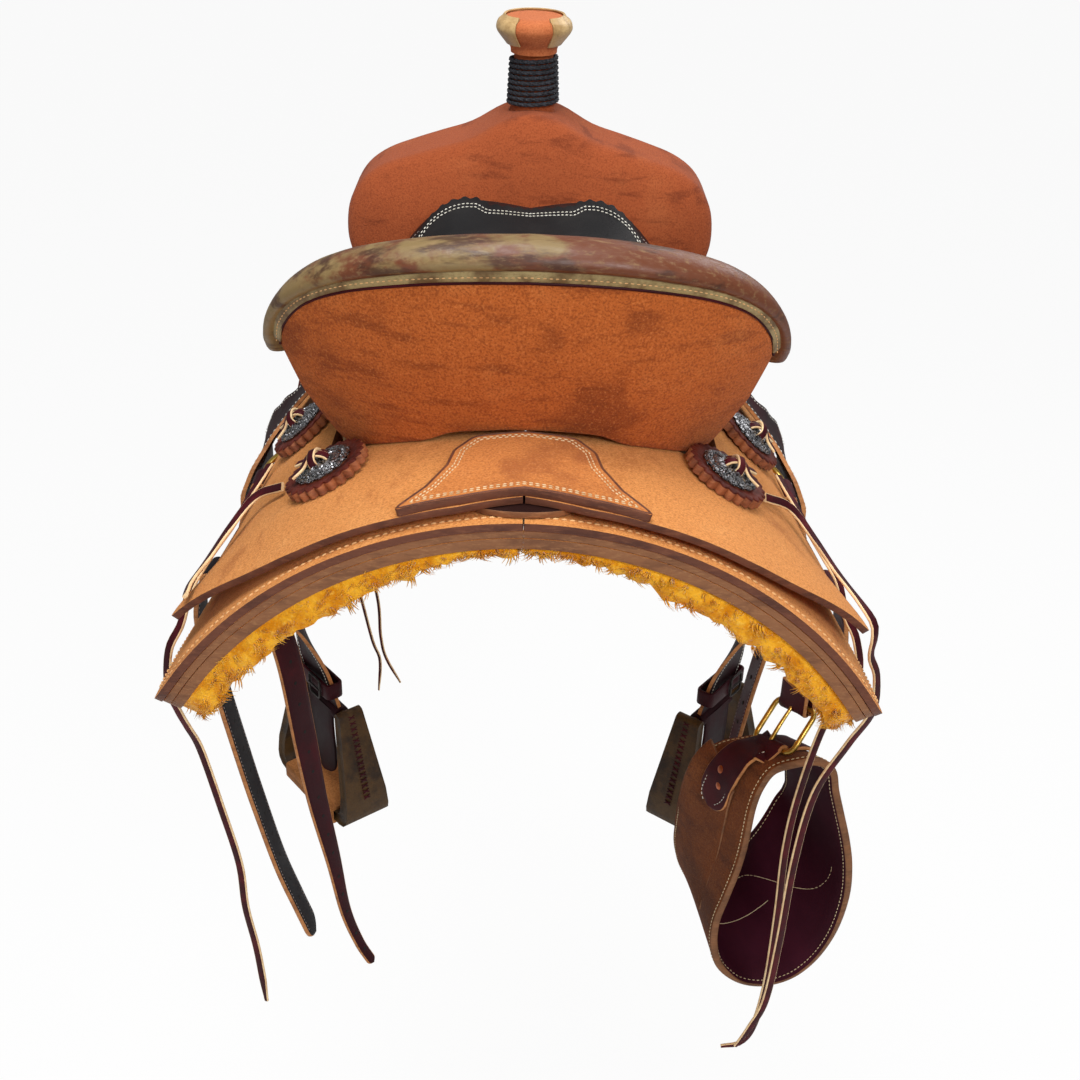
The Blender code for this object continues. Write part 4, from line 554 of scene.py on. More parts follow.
def softened(node, name, materials, width=0.0015, segments=2, levels=0, body="saddle", angle=35, **where):
    """A copy of a CAD node with its corners rounded, or its facets smoothed."""
    bm = bmesh.new()
    bm.from_mesh(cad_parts[node].data)
    bmesh.ops.remove_doubles(bm, verts=bm.verts, dist=1e-5)
    bmesh.ops.dissolve_limit(bm, angle_limit=math.radians(1.0), verts=bm.verts, edges=bm.edges)
    if width:
        sharp = [e for e in bm.edges if len(e.link_faces) == 2 and e.calc_face_angle() > math.radians(angle)]
        bmesh.ops.bevel(bm, geom=sharp, offset=width, segments=segments, profile=0.5, affect="EDGES",
                        clamp_overlap=True, material=-1)
    thing = piece(name, bm, materials, body=body, replaces=[node], **where)
    if levels:
        modifier = thing.modifiers.new("smooth", "SUBSURF")
        modifier.levels = modifier.render_levels = levels
    return thing


def flat_sheet(outline, step):
    """One flat face cut into a grid, so that it can bend."""
    bm = bmesh.new()
    face = bm.faces.new([bm.verts.new((p[0], p[1], 0)) for p in outline])
    face.normal_update()
    if face.normal.z < 0:
        face.normal_flip()
    for axis in (0, 1):
        low, high = min(p[axis] for p in outline), max(p[axis] for p in outline)
        for k in range(math.ceil(low / step), math.floor(high / step) + 1):
            place, normal = [0, 0, 0], [0, 0, 0]
            place[axis], normal[axis] = k * step, 1
            bmesh.ops.bisect_plane(bm, geom=bm.verts[:] + bm.edges[:] + bm.faces[:], dist=1e-5,
                                   plane_co=place, plane_no=normal)
    return bm


def slab(bm, low, high, soft=0.0012, segments=2):
    """Gives a flat sheet its thickness, dark sides and rounded rims."""
    top = bm.faces[:]
    for face in top:
        face.material_index = 0
    made = bmesh.ops.extrude_face_region(bm, geom=top)["geom"]
    raised = [v for v in made if isinstance(v, bmesh.types.BMVert)]
    for vert in bm.verts:
        vert.co.z = low
    for vert in raised:
        vert.co.z = high
    bm.normal_update()
    for face in bm.faces:
        if abs(face.normal.z) < 0.5:
            face.material_index = 1
    rims = [e for e in bm.edges if len(e.link_faces) == 2
            and e.link_faces[0].material_index != e.link_faces[1].material_index]
    soft = min(soft, 0.35 * (high - low))
    bmesh.ops.bevel(bm, geom=rims, offset=soft, segments=segments, profile=0.5, affect="EDGES",
                    clamp_overlap=True, material=1)


def bend(bm, form, change=None):
    for vert in bm.verts:
        a, b, w = vert.co
        if change:
            w = change(a, b, w)
        vert.co = form(a, b, w)


def lay(name, form, outline, low, high, step, materials, change=None, soft=0.0012, **where):
    bm = flat_sheet(outline, step)
    slab(bm, low, high, soft)
    bend(bm, form, change)
    return piece(name, bm, materials, **where)


def join_sheets(parts):
    """One bmesh of several."""
    whole = bmesh.new()
    for part in parts:
        mesh = bpy.data.meshes.new("sheet")
        part.to_mesh(mesh)
        part.free()
        whole.from_mesh(mesh)
        bpy.data.meshes.remove(mesh)
    return whole


def stitches_on(bm, form, outline, w, pitch=0.0042, length=0.0032, width=0.0011, change=None, keep=None):
    """A row of stitches on a bent surface, along a flat outline."""
    flat = [p for p in spaced(outline, pitch)]
    places, normals = [], []
    for p in flat:
        if keep and not keep(p):
            continue
        height = change(p.x, p.y, w) if change else w
        here = form(p.x, p.y, height)
        places.append(here)
        normals.append((form(p.x, p.y, height + 0.001) - here).normalized())
    runs, run = [], []
    for place, normal in zip(places, normals):
        if run and (place - run[-1][0]).length > 2.2 * pitch:
            runs.append(run)
            run = []
        run.append((place, normal))
    runs.append(run)
    for run in runs:
        stitch_row(bm, [p for p, _ in run], [n for _, n in run], length, width)


def remembered(function):
    known = {}

    def call(a, b, w=0.0):
        key = (round(a, 6), round(b, 6))
        if key not in known:
            h = 0.001
            point = function(a, b)
            across = function(a + h, b) - function(a - h, b)
            along = function(a, b + h) - function(a, b - h)
            known[key] = (point, across.cross(along).normalized())
        point, normal = known[key]
        return point + normal * w

    return call


# The mule's back, which the skirts and jockeys follow

GAP = 0.0003
LEATHER = 0.0055
SKIRT_REAR_Y = -0.358
SKIRT_LENGTH = 0.711
SKIRT_DROP = 0.348
SKIRT_THICKNESS = 0.021
FLEECE_LOFT = 0.020
JOCKEY_LIFT = 0.0060
STACK = FLEECE_LOFT + 2 * GAP + SKIRT_THICKNESS
PLATE_LOW = JOCKEY_LIFT + LEATHER + GAP
PLATE_TOP = PLATE_LOW + 0.0062


def arch_radius(y):
    return 0.320 - 0.040 * smoothstep(y, SKIRT_REAR_Y, -0.04)


def crown_height(y):
    return STACK + 0.008 * (2 * y / SKIRT_LENGTH) ** 2


def on_back(s, y, w=0.0):
    radius = arch_radius(y)
    angle = s / radius
    return Vector(((radius + w) * math.sin(angle), y, crown_height(y) - radius + (radius + w) * math.cos(angle)))


def back_normal(s, y):
    angle = s / arch_radius(y)
    return Vector((math.sin(angle), 0, math.cos(angle)))


def skirt_outline():
    front = SKIRT_REAR_Y + SKIRT_LENGTH
    return rounded([
        (0.0008, SKIRT_REAR_Y), (SKIRT_DROP + 0.002, SKIRT_REAR_Y - 0.004, 0.036), (SKIRT_DROP + 0.004, 0.0),
        (SKIRT_DROP - 0.010, front, 0.095), (0.056, front, 0.035), (0.056, -0.130, 0.040), (0.0008, -0.190, 0.020),
    ], 10)


def fleece_depth(s):
    return 0.006 + 0.014 * smoothstep(abs(s), 0.02, 0.15)


def draw_lock(curl):
    """A small tuft of wool, a unit long: fine wisps that leave one root and curl over together."""
    def draw(bm):
        for wisp in range(5):
            lean = curl + wisp * 2.4
            spread = 0.05 + 0.15 * wisp / 4
            tall = 1.0 - 0.08 * wisp
            rings = []
            for k in range(4):
                t = k / 3
                width = 0.095 * (1 - 0.80 * t)
                swing, fan = 0.75 * t * t, spread * (1 + 1.6 * t)
                centre = Vector((math.cos(curl) * swing + math.cos(lean) * fan,
                                 math.sin(curl) * swing + math.sin(lean) * fan, tall * t * (1 - 0.34 * t)))
                rings.append([centre + width * Vector((math.cos(q), math.sin(q), 0.0))
                              for q in (0, 2 * math.pi / 3, 4 * math.pi / 3)])
            extrude_through(bm, rings)
    return draw


LOCKS = [Stamp(draw_lock(curl)) for curl in (0.0, 0.9, 1.8, 2.7, 3.9, 5.1)]


def lock(bm, root, away, size):
    turned_to = away.to_track_quat("Z", "Y").to_matrix().to_4x4()
    place = Matrix.Translation(root) @ turned_to @ Matrix.Rotation(random.uniform(0, 6.28), 4, "Z")
    random.choice(LOCKS).press(bm, place @ Matrix.Scale(size, 4))


def make_fleece(side, word):
    """The woolskin: a lumpy pile under the skirt, with locks that poke out round its rim."""
    outline = inset(mirrored(skirt_outline(), side), 0.0035)
    top = -GAP - SKIRT_THICKNESS - GAP
    bm = flat_sheet(outline, 0.0055)
    slab(bm, top - FLEECE_LOFT, top, 0.003, 1)
    for vert in bm.verts:
        s, y, w = vert.co
        share = min(1.0, (top - w) / FLEECE_LOFT)
        here = on_back(s, y, top - share * fleece_depth(s))
        lumps = noise.noise(here * 60) + 0.6 * noise.noise(here * 150) + 0.35 * noise.noise(here * 330)
        vert.co = here - back_normal(s, y) * lumps * 0.0048 * share
    for face in bm.faces:
        face.material_index = 0
    random.seed(11 + side)
    rim = spaced(outline, 0.0030)
    for i, p in enumerate(rim):
        after = rim[(i + 1) % len(rim)]
        if abs(p.x) < 0.004:
            continue
        step = (after - p).normalized()
        area = sum(a.x * b.y - b.x * a.y for a, b in zip(outline, outline[1:] + outline[:1]))
        turn = 1 if area > 0 else -1
        outward = Vector((step.y, -step.x)) * turn
        for _ in range(2):
            s = p.x - outward.x * random.uniform(0.0, 0.006) + step.x * random.uniform(-0.002, 0.002)
            y = p.y - outward.y * random.uniform(0.0, 0.006) + step.y * random.uniform(-0.002, 0.002)
            down = random.uniform(0.10, 1.0)
            root = on_back(s, y, top - down * fleece_depth(s))
            flat_out = (on_back(s + outward.x * 0.001, y + outward.y * 0.001, 0) - on_back(s, y, 0)).normalized()
            hang = 0.5 + 0.5 * noise.noise(Vector((s * 40, y * 40, 3.0)))
            away = (flat_out * random.uniform(0.1, 0.9) - back_normal(s, y) * random.uniform(0.4, 1.2)).normalized()
            lock(bm, root, away, random.uniform(0.006, 0.0085) + 0.004 * hang)
    for _ in range(300):
        s = side * random.uniform(0.06, SKIRT_DROP - 0.01)
        y = random.uniform(SKIRT_REAR_Y + 0.01, SKIRT_REAR_Y + SKIRT_LENGTH - 0.05)
        root = on_back(s, y, top - fleece_depth(s) + 0.003)
        away = (-back_normal(s, y) + Vector((random.uniform(-1, 1), random.uniform(-1, 1), 0)) * 0.8).normalized()
        lock(bm, root, away, random.uniform(0.007, 0.011))
    thing = piece("woolskin_" + word, bm, [WOOL], replaces=["fleece_" + word], slot="fleece", sharp=180, merge=0)


def make_skirt(side, word):
    """Three plies, each a little in from the next, so that their seams show round the edge."""
    outline = mirrored(skirt_outline(), side)
    low = -GAP - SKIRT_THICKNESS
    parts = []
    for start, end, back in ((0.0, 0.0082, 0.0010), (0.0089, 0.0142, 0.0010), (0.0149, 0.021, 0.0)):
        rim = inset(outline, back)
        for p in rim:
            if abs(p.x) < 0.003:
                p.x = side * (0.0001 if back else 0.0006)
        bm = flat_sheet(rim, 0.012)
        slab(bm, low + start, low + end, 0.0019, 3)
        for face in bm.faces:
            face.material_index *= 1 + (end > 0.02)
        bend(bm, on_back)
        parts.append(bm)
    piece("skirt_leather_" + word, join_sheets(parts), [TAN_SUEDE, EDGE, DARK_EDGE], replaces=["skirt_" + word],
          slot="rough_out", merge=0)
    bm = bmesh.new()
    stitches_on(bm, on_back, inset(outline, 0.0100), -GAP, 0.0060, 0.0044, 0.0017,
                keep=lambda p: abs(p.x) > 0.012)
    piece("skirt_stitches_" + word, bm, [TAN_THREAD], merge=0)


def jockey_rise(s, y, w):
    return w + 0.011 * smoothstep(abs(s), 0.19, 0.29) * smoothstep(-y, 0.20, 0.33)


def make_jockey(side, word):
    outline = mirrored(rounded([
        (0.0008, -0.338), (0.045, -0.350), (0.090, -0.352), (0.165, -0.349), (0.220, -0.339), (0.288, -0.323, 0.010),
        (0.292, -0.290), (0.290, -0.160), (0.277, -0.116), (0.263, -0.052), (0.250, -0.016, 0.020),
        (0.168, -0.012, 0.010), (0.166, -0.194), (0.0008, -0.205)]), side)
    lay("jockey_leather_" + word, on_back, outline, JOCKEY_LIFT, JOCKEY_LIFT + LEATHER, 0.012, [TAN_SUEDE, DARK_EDGE],
        jockey_rise, 0.0020, replaces=["back_jockey_" + word], slot="rough_out")
    front = mirrored(rounded([
        (0.168, 0.180, 0.012), (0.214, 0.196, 0.020), (0.222, 0.250), (0.205, 0.318, 0.030), (0.160, 0.330, 0.015),
        (0.154, 0.305), (0.160, 0.240)]), side)
    lay("front_jockey_leather_" + word, on_back, front, GAP, GAP + LEATHER, 0.012, [TAN_SUEDE, DARK_EDGE], None, 0.0020,
        replaces=["front_jockey_" + word], slot="rough_out")


def make_plate():
    corners = [(0.0, -0.337), (0.042, -0.3475), (0.091, -0.3525, 0.003), (0.069, -0.322), (0.056, -0.290),
               (0.052, -0.264, 0.010), (0.038, -0.242, 0.010), (0.0, -0.236)]
    half, plain = rounded(corners), [Vector(p[:2]) for p in corners]
    outline = half + [Vector((-p.x, p.y)) for p in reversed(half[1:-1])]
    plain += [Vector((-p.x, p.y)) for p in reversed(plain[1:-1])]
    # The wide bevel wears the dark edge leather: partly the burnished edge, partly painted shadow of the plate's side
    # wall.
    lay("back_plate_leather", on_back, outline, PLATE_LOW, PLATE_TOP, 0.010, [PLATE_SUEDE, DARK_EDGE], None, 0.0032,
        replaces=["back_plate"], slot="rough_out")
    bm = bmesh.new()
    for back in (0.0062, 0.0092):
        stitches_on(bm, on_back, inset(plain, back), PLATE_TOP, 0.0046, 0.0033, 0.0011)
    piece("back_plate_stitches", bm, [CREAM_THREAD], merge=0)
    # A ring of dark edge leather round the top rim: partly the burnished edge, partly painted shadow along the plate's
    # side.
    bm = bmesh.new()
    wire(bm, [on_back(p.x, p.y, PLATE_TOP - 0.0004) for p in spaced(inset(outline, 0.0012), 0.004)], 0.0012, 6, closed=True)
    piece("back_plate_edge_and_painted_shadow", bm, [DARK_EDGE], merge=0)
    lens = [Vector((0.036 * math.cos(t), -0.332 + 0.019 * math.sin(t))) for t in
            (2 * math.pi * k / 48 for k in range(48))]
    lay("gusset_leather", on_back, lens, GAP, GAP + 0.005, 0.010, [DARK_LEATHER, EDGE], None, 0.0015,
        replaces=["skirt_gusset"], slot="dark_leather")


# Fork cover

SWELL = [
    (0.0, 0.2045), (0.030, 0.1970), (0.063, 0.1795), (0.094, 0.1700), (0.122, 0.1615), (0.150, 0.1515),
    (0.171, 0.1370), (0.184, 0.1160), (0.188, 0.0930), (0.186, 0.0710), (0.177, 0.0530), (0.160, 0.0410),
]
GULLET = [(0.076, 0.080), (0.073, 0.104), (0.060, 0.130), (0.040, 0.146), (0.016, 0.154), (0.0, 0.155)]
FORK_Y, FORK_DEPTH = 0.225, 0.124


def bar_top(x, y):
    radius = arch_radius(y)
    return crown_height(y) - radius + math.sqrt((radius + 0.0266) ** 2 - x ** 2)


def swell_ring(share, rounding, fine=4):
    """The arch's section at one depth, drawn in by rounding."""
    outer = [through([Vector((-SWELL[1][0], SWELL[1][1]))] + [Vector(p) for p in SWELL], (1 + k / fine) / len(SWELL))
             for k in range(fine * (len(SWELL) - 1) + 1)]
    outer[0].x = 0.0
    half = []
    for i, here in enumerate(outer):
        before = outer[i - 1] if i else Vector((-outer[1].x, outer[1].y))
        after = outer[i + 1] if i + 1 < len(outer) else Vector((0.150, 0.0365))
        along = (after - before).normalized()
        half.append(here + Vector((along.y, -along.x)) * rounding)
    end_y = FORK_Y + share * FORK_DEPTH / 2
    feet = [Vector((x, bar_top(x, end_y))) for x in (0.150 - rounding, 0.134, 0.118, 0.099, 0.080)]
    roof = 0.36 + 0.64 * smoothstep(share, -0.9, 0.6)
    arch = [through([Vector(p) for p in GULLET], k / 15) for k in range(16)]
    arch[-1].x = 0.0
    inner = [Vector((max(0.0, p.x), 0.080 + (p.y - 0.080) * roof)) for p in arch]
    whole = half + feet + inner
    whole += [Vector((-p.x, p.y)) for p in reversed(whole[1:-1])]
    ring = []
    for p in whole:
        depth = 1 - 0.25 * (p.x / 0.19) ** 2
        ring.append(Vector((p.x, FORK_Y + share * FORK_DEPTH / 2 * depth + 0.12 * (p.y - 0.10), p.y)))
    return ring


def make_swell_cover():
    stations = []
    for k in range(-16, 17):
        share = math.sin(math.pi / 2 * k / 16)
        size = abs(share)
        rounding = 0.020 * (1 - math.sqrt(max(0.0, 1 - smoothstep(size, 0.55, 1.0) ** 2 * 0.999)))
        stations.append((share, rounding))
    bm = bmesh.new()
    rings = [swell_ring(share, rounding) for share, rounding in stations]
    extrude_through(bm, rings, ends=False)
    size = len(rings[0])
    bm.verts.ensure_lookup_table()
    half = size // 2
    for start in (0, len(bm.verts) - size):
        loop = [bm.verts[start + k] for k in range(size)]
        fill_arch(bm, loop, len(stations))
    piece("swell_leather_cover", bm, [SWELL_LEATHER], replaces=["swell_cover"], slot="swell_leather", sharp=60)


def fill_arch(bm, loop, _):
    """Closes an end of the arch between its outer and inner lines, from the middle out."""
    outer_count = 4 * (len(SWELL) - 1) + 1
    size = len(loop)
    half_count = size // 2 + 1
    for side in (LEFT, RIGHT):
        line = [loop[i] if side == RIGHT or i in (0, half_count - 1) else loop[size - i] for i in range(half_count)]
        outer, inner = line[:outer_count], line[:outer_count - 1:-1]
        i = j = 0
        while i < len(outer) - 1 or j < len(inner) - 1:
            if j == len(inner) - 1 or (i < len(outer) - 1 and (i + 1) * (len(inner) - 1) <= (j + 1) * (len(outer) - 1)):
                bm.faces.new((outer[i], outer[i + 1], inner[j]))
                i += 1
            else:
                bm.faces.new((outer[i], inner[j + 1], inner[j]))
                j += 1


# Cantle

CANTLE_TOP = [
    (0.0, -0.252, 0.1885), (0.050, -0.249, 0.1862), (0.097, -0.240, 0.1800), (0.138, -0.226, 0.1695),
    (0.169, -0.209, 0.1530), (0.188, -0.190, 0.1290), (0.195, -0.172, 0.1030),
]
CANTLE_BASE = [
    (0.0, -0.2310), (0.040, -0.2285), (0.075, -0.2195), (0.106, -0.2050), (0.130, -0.1870),
    (0.147, -0.1680), (0.157, -0.1540),
]
CANTLE_WIDTH, CANTLE_HEIGHT = 0.200, 0.130


def cantle_point(a, b):
    side = -1 if a < 0 else 1
    across = abs(a) / CANTLE_WIDTH
    x, y, z = through(CANTLE_TOP, across)
    s, base_y = through([(p[0], p[1], 0) for p in CANTLE_BASE], across)[:2]
    stand = PLATE_TOP + 0.0006 + (JOCKEY_LIFT + LEATHER - PLATE_TOP) * smoothstep(s, 0.05, 0.08)
    z += 0.0075
    up = b / CANTLE_HEIGHT
    place = on_back(s, base_y, stand).lerp(Vector((x, y, z)), up)
    place.y -= 0.006 * math.sin(math.pi * min(1.0, max(0.0, up)))
    place.x *= side
    return place


on_cantle = remembered(cantle_point)


def make_cantle():
    w, h = CANTLE_WIDTH, CANTLE_HEIGHT
    outline = rounded([(-w * 0.99, h + 0.006), (-w * 0.995, h * 0.55, 0.020), (-w * 0.80, 0.001, 0.040),
                       (w * 0.80, 0.001, 0.040), (w * 0.995, h * 0.55, 0.020), (w * 0.99, h + 0.006)], 10)
    lay("cantle_leather", on_cantle, outline, 0.0, 0.0045, 0.008, [RUST_SUEDE, EDGE], None, 0.0018,
        replaces=["cantle_back"], slot="cantle_rough_out")
    strip_line = [(k / 60 * 2 - 1) * w * 0.985 for k in range(61)]
    stations = []
    for a in strip_line:
        low, high = on_cantle(a, h - 0.0045, 0.0052), on_cantle(a, h + 0.0070, 0.0050)
        stations.append(((low + high) / 2, (high - low), (high - low).length / 2))
    strap("rawhide_strip", stations, 0.0020, [STRIP, STRIP], columns=4)
    bm = bmesh.new()
    places = sampled([on_cantle(a, h - 0.0010, 0.0066) for a in strip_line], 112)
    outward = [Vector((p.x * 1.2, -0.30, -0.02)).normalized() for p in places]
    stitch_row(bm, places, outward, 0.0030, 0.0011)
    piece("rawhide_strip_stitches", bm, [TAN_THREAD], merge=0)
    bm = bmesh.new()
    wire(bm, sampled([on_cantle(a, h - 0.0055, 0.0050) for a in strip_line], 90), 0.0013, 6)
    piece("rawhide_strip_welt", bm, [BURGUNDY], merge=0)


ROLL_PATH = [
    (0.0, -0.246, 0.2030), (0.051, -0.243, 0.2003), (0.097, -0.235, 0.1930), (0.137, -0.221, 0.1810),
    (0.168, -0.204, 0.1630), (0.188, -0.185, 0.1390), (0.197, -0.168, 0.1130), (0.198, -0.153, 0.0930),
]


def make_roll():
    rings = []
    for k in range(-44, 45):
        share = k / 44
        side = -1 if share < 0 else 1
        here = through(ROLL_PATH, abs(share)) + Vector((0, 0.001, 0.0055 * (1 - abs(share) ** 4)))
        ahead = through(ROLL_PATH, min(1.0, abs(share) + 0.02)) - through(ROLL_PATH, max(0.0, abs(share) - 0.02))
        outward = Vector((ahead.y, -ahead.x, 0)).normalized()
        up = outward.cross(ahead.normalized())
        up = up if up.z > 0 else -up
        tilt = math.radians(20) * (1 - 0.3 * abs(share))
        long_way = outward * math.cos(tilt) - up * math.sin(tilt)
        short_way = up * math.cos(tilt) + outward * math.sin(tilt)
        flip = Vector((side, 1, 1))
        size = 1 - 0.28 * abs(share) ** 3
        if abs(share) > 0.965:
            size *= math.sqrt(max(0.05, 1 - ((abs(share) - 0.965) / 0.038) ** 2))
        ring = []
        for n in range(36):
            angle = 2 * math.pi * n / 36
            wide = 0.0180 * math.cos(angle) * size
            high = 0.0105 * math.sin(angle) * size * (0.75 if math.sin(angle) < 0 else 1.0)
            dent = 1 + 0.02 * noise.noise(Vector((share * 14, angle * 0.8, 2.0)))
            ring.append((here + (long_way * wide + short_way * high) * dent) * flip)
        rings.append(ring)
    bm = bmesh.new()
    extrude_through(bm, rings)
    piece("roll_rawhide_cover", bm, [ROLL], replaces=["cantle_roll"], slot="roll_rawhide")


# Seat

SEAT_GUIDES = [
    (0.000, [(0, -0.2235, 0.1870), (0.050, -0.2205, 0.1840), (0.093, -0.2115, 0.1760), (0.129, -0.1980, 0.1620),
             (0.155, -0.1830, 0.1420), (0.175, -0.1600, 0.1120), (0.186, -0.1350, 0.0770), (0.193, -0.1190, 0.0380)]),
    (0.045, [(0, -0.2030, 0.1370), (0.050, -0.2000, 0.1350), (0.093, -0.1910, 0.1290), (0.128, -0.1780, 0.1190),
             (0.152, -0.1620, 0.1050), (0.172, -0.1400, 0.0820), (0.188, -0.1180, 0.0520), (0.198, -0.1040, 0.0180)]),
    (0.095, [(0, -0.1640, 0.1020), (0.048, -0.1620, 0.1020), (0.090, -0.1540, 0.0990), (0.124, -0.1420, 0.0920),
             (0.148, -0.1280, 0.0800), (0.168, -0.1120, 0.0610), (0.186, -0.0980, 0.0350), (0.200, -0.0880, 0.0060)]),
    (0.170, [(0, -0.0900, 0.0880), (0.045, -0.0890, 0.0880), (0.085, -0.0860, 0.0840), (0.118, -0.0820, 0.0740),
             (0.144, -0.0780, 0.0600), (0.167, -0.0740, 0.0410), (0.188, -0.0700, 0.0180), (0.205, -0.0680, -0.0040)]),
    (0.260, [(0, 0.0, 0.0930), (0.042, 0.0, 0.0910), (0.080, 0.0, 0.0830), (0.112, 0.0, 0.0700),
             (0.139, 0.0, 0.0540), (0.163, 0.0, 0.0350), (0.184, 0.0, 0.0130), (0.201, 0.0, -0.0080)]),
    (0.345, [(0, 0.085, 0.1060), (0.042, 0.085, 0.1050), (0.080, 0.085, 0.0980), (0.111, 0.085, 0.0830),
             (0.138, 0.085, 0.0610), (0.161, 0.085, 0.0375), (0.181, 0.085, 0.0140), (0.199, 0.085, -0.0080)]),
    (0.400, [(0, 0.146, 0.1255), (0.042, 0.146, 0.1315), (0.078, 0.146, 0.1300), (0.108, 0.145, 0.1070),
             (0.134, 0.142, 0.0740), (0.157, 0.139, 0.0430), (0.177, 0.139, 0.0160), (0.194, 0.139, -0.0060)]),
]
SEAT_LENGTH = 0.400


def measured_guides():
    found = []
    for _, guide in SEAT_GUIDES:
        fine = [through(guide, k / 64) for k in range(65)]
        reach = [0.0]
        for one, two in zip(fine, fine[1:]):
            reach.append(reach[-1] + (two - one).length)
        found.append((fine, reach))
    return found


GUIDES = measured_guides()


def seat_section(guide, s):
    fine, reach = guide
    if s >= reach[-1]:
        return fine[-1] + (fine[-1] - fine[-2]).normalized() * (s - reach[-1])
    low, high = 0, len(reach) - 1
    while high - low > 1:
        middle = (low + high) // 2
        if reach[middle] <= s:
            low = middle
        else:
            high = middle
    return fine[low].lerp(fine[low + 1], (s - reach[low]) / (reach[low + 1] - reach[low]))


def seat_point(a, b):
    side = -1 if a < 0 else 1
    knots = [at for at, _ in SEAT_GUIDES]
    i = 0
    while i < len(knots) - 2 and b > knots[i + 1]:
        i += 1
    near = {k: seat_section(GUIDES[k], abs(a)) for k in range(max(0, i - 1), min(len(knots), i + 3))}
    span = knots[i + 1] - knots[i]
    t = (b - knots[i]) / span

    def slope(k):
        low, high = max(0, k - 1), min(len(knots) - 1, k + 1)
        return (near[high] - near[low]) / (knots[high] - knots[low])

    place = ((2 * t ** 3 - 3 * t ** 2 + 1) * near[i] + (t ** 3 - 2 * t ** 2 + t) * span * slope(i)
             + (3 * t ** 2 - 2 * t ** 3) * near[i + 1] + (t ** 3 - t ** 2) * span * slope(i + 1))
    place.x *= side
    return place


on_seat = remembered(seat_point)


def inlay_half():
    half = [Vector((0.0, 0.392)), Vector((0.040, 0.391)), Vector((0.051, 0.3975)), Vector((0.064, 0.3980))]
    edge = sampled([(0.064, 0.398, 0), (0.092, 0.394, 0), (0.114, 0.382, 0), (0.130, 0.340, 0), (0.136, 0.260, 0),
                    (0.138, 0.180, 0), (0.134, 0.100, 0), (0.110, 0.048, 0), (0.060, 0.036, 0), (0.0, 0.034, 0)], 40)
    return half + [Vector((p.x, p.y)) for p in edge[1:]]


def make_seat():
    outline = rounded([
        (-0.252, 0.010, 0.015), (0.252, 0.010, 0.015), (0.245, 0.070), (0.204, 0.130, 0.020),
        (0.200, 0.200, 0.030), (0.218, 0.280), (0.224, SEAT_LENGTH, 0.020), (-0.224, SEAT_LENGTH, 0.020),
        (-0.218, 0.280), (-0.200, 0.200, 0.030), (-0.204, 0.130, 0.020), (-0.245, 0.070)])
    lay("seat_leather", on_seat, outline, -0.006, 0.0, 0.012, [DARK_LEATHER, EDGE], None, 0.0018,
        replaces=["seat"], slot="dark_leather")
    half = inlay_half()
    plain = half + [Vector((-p.x, p.y)) for p in reversed(half[1:-1])]
    round_it = spaced(plain, 0.0022)
    pinked = []
    for k, p in enumerate(round_it):
        before, after = round_it[k - 1], round_it[(k + 1) % len(round_it)]
        along = (after - before).normalized()
        pinked.append(p + Vector((along.y, -along.x)) * (0.0013 * math.cos(2 * math.pi * k / 5)))

    def padded(a, b, w):
        edge_share = max(abs(a) / 0.136, abs(b - 0.215) / 0.183)
        return w - 0.0024 * smoothstep(edge_share, 0.7, 1.0) if w > 0.004 else w

    inlay = lay("seat_inlay_leather", on_seat, pinked, GAP, GAP + 0.007, 0.010, [SEAT_LEATHER, SEAT_LEATHER], padded,
                0.0016, replaces=["seat_inlay"], slot="black_leather")
    bm = bmesh.new()
    for back in (0.0070, 0.0105):
        stitches_on(bm, on_seat, inset(plain, back), GAP + 0.007, 0.0040, 0.0031, 0.0013, change=padded)
    piece("seat_inlay_stitches", bm, [WHITE_THREAD], merge=0)
    bm = bmesh.new()
    stitches_on(bm, on_seat, inset(outline, 0.008), 0.0, 0.0042, 0.0032, 0.0011)
    piece("seat_stitches", bm, [GREY_THREAD], merge=0)


# Horn

HORN_Y, HORN_FOOT_Z, NECK_HEIGHT = 0.238, 0.1992, 0.0575
NECK_FOOT, NECK_TOP = 0.0224, 0.0196
WRAP_TURNS, WRAP_CORD, WRAP_PITCH = 9, 0.0046, 0.0051
CAP_STRETCH = 1.12


def turned(name, profile, centre, stretch, steps, materials, sweep=2 * math.pi, start=0.0, **where):
    """A profile of (radius, height) points spun about the upright line through centre."""
    bm = bmesh.new()
    verts = [bm.verts.new((r * math.cos(start), r * math.sin(start), z)) for r, z in profile]
    closed = sweep < 6.28
    edges = [bm.edges.new(pair) for pair in zip(verts, verts[1:])]
    if closed:
        edges.append(bm.edges.new((verts[-1], verts[0])))
    bmesh.ops.spin(bm, geom=verts + edges, cent=(0, 0, 0), axis=(0, 0, 1), angle=sweep, steps=steps,
                   use_merge=not closed)
    if closed:
        bmesh.ops.holes_fill(bm, edges=bm.edges[:])
    bmesh.ops.transform(bm, verts=bm.verts, matrix=Matrix.Translation(centre) @ Matrix.Diagonal((1, stretch, 1, 1)))
    return piece(name, bm, materials, merge=1e-6, **where)


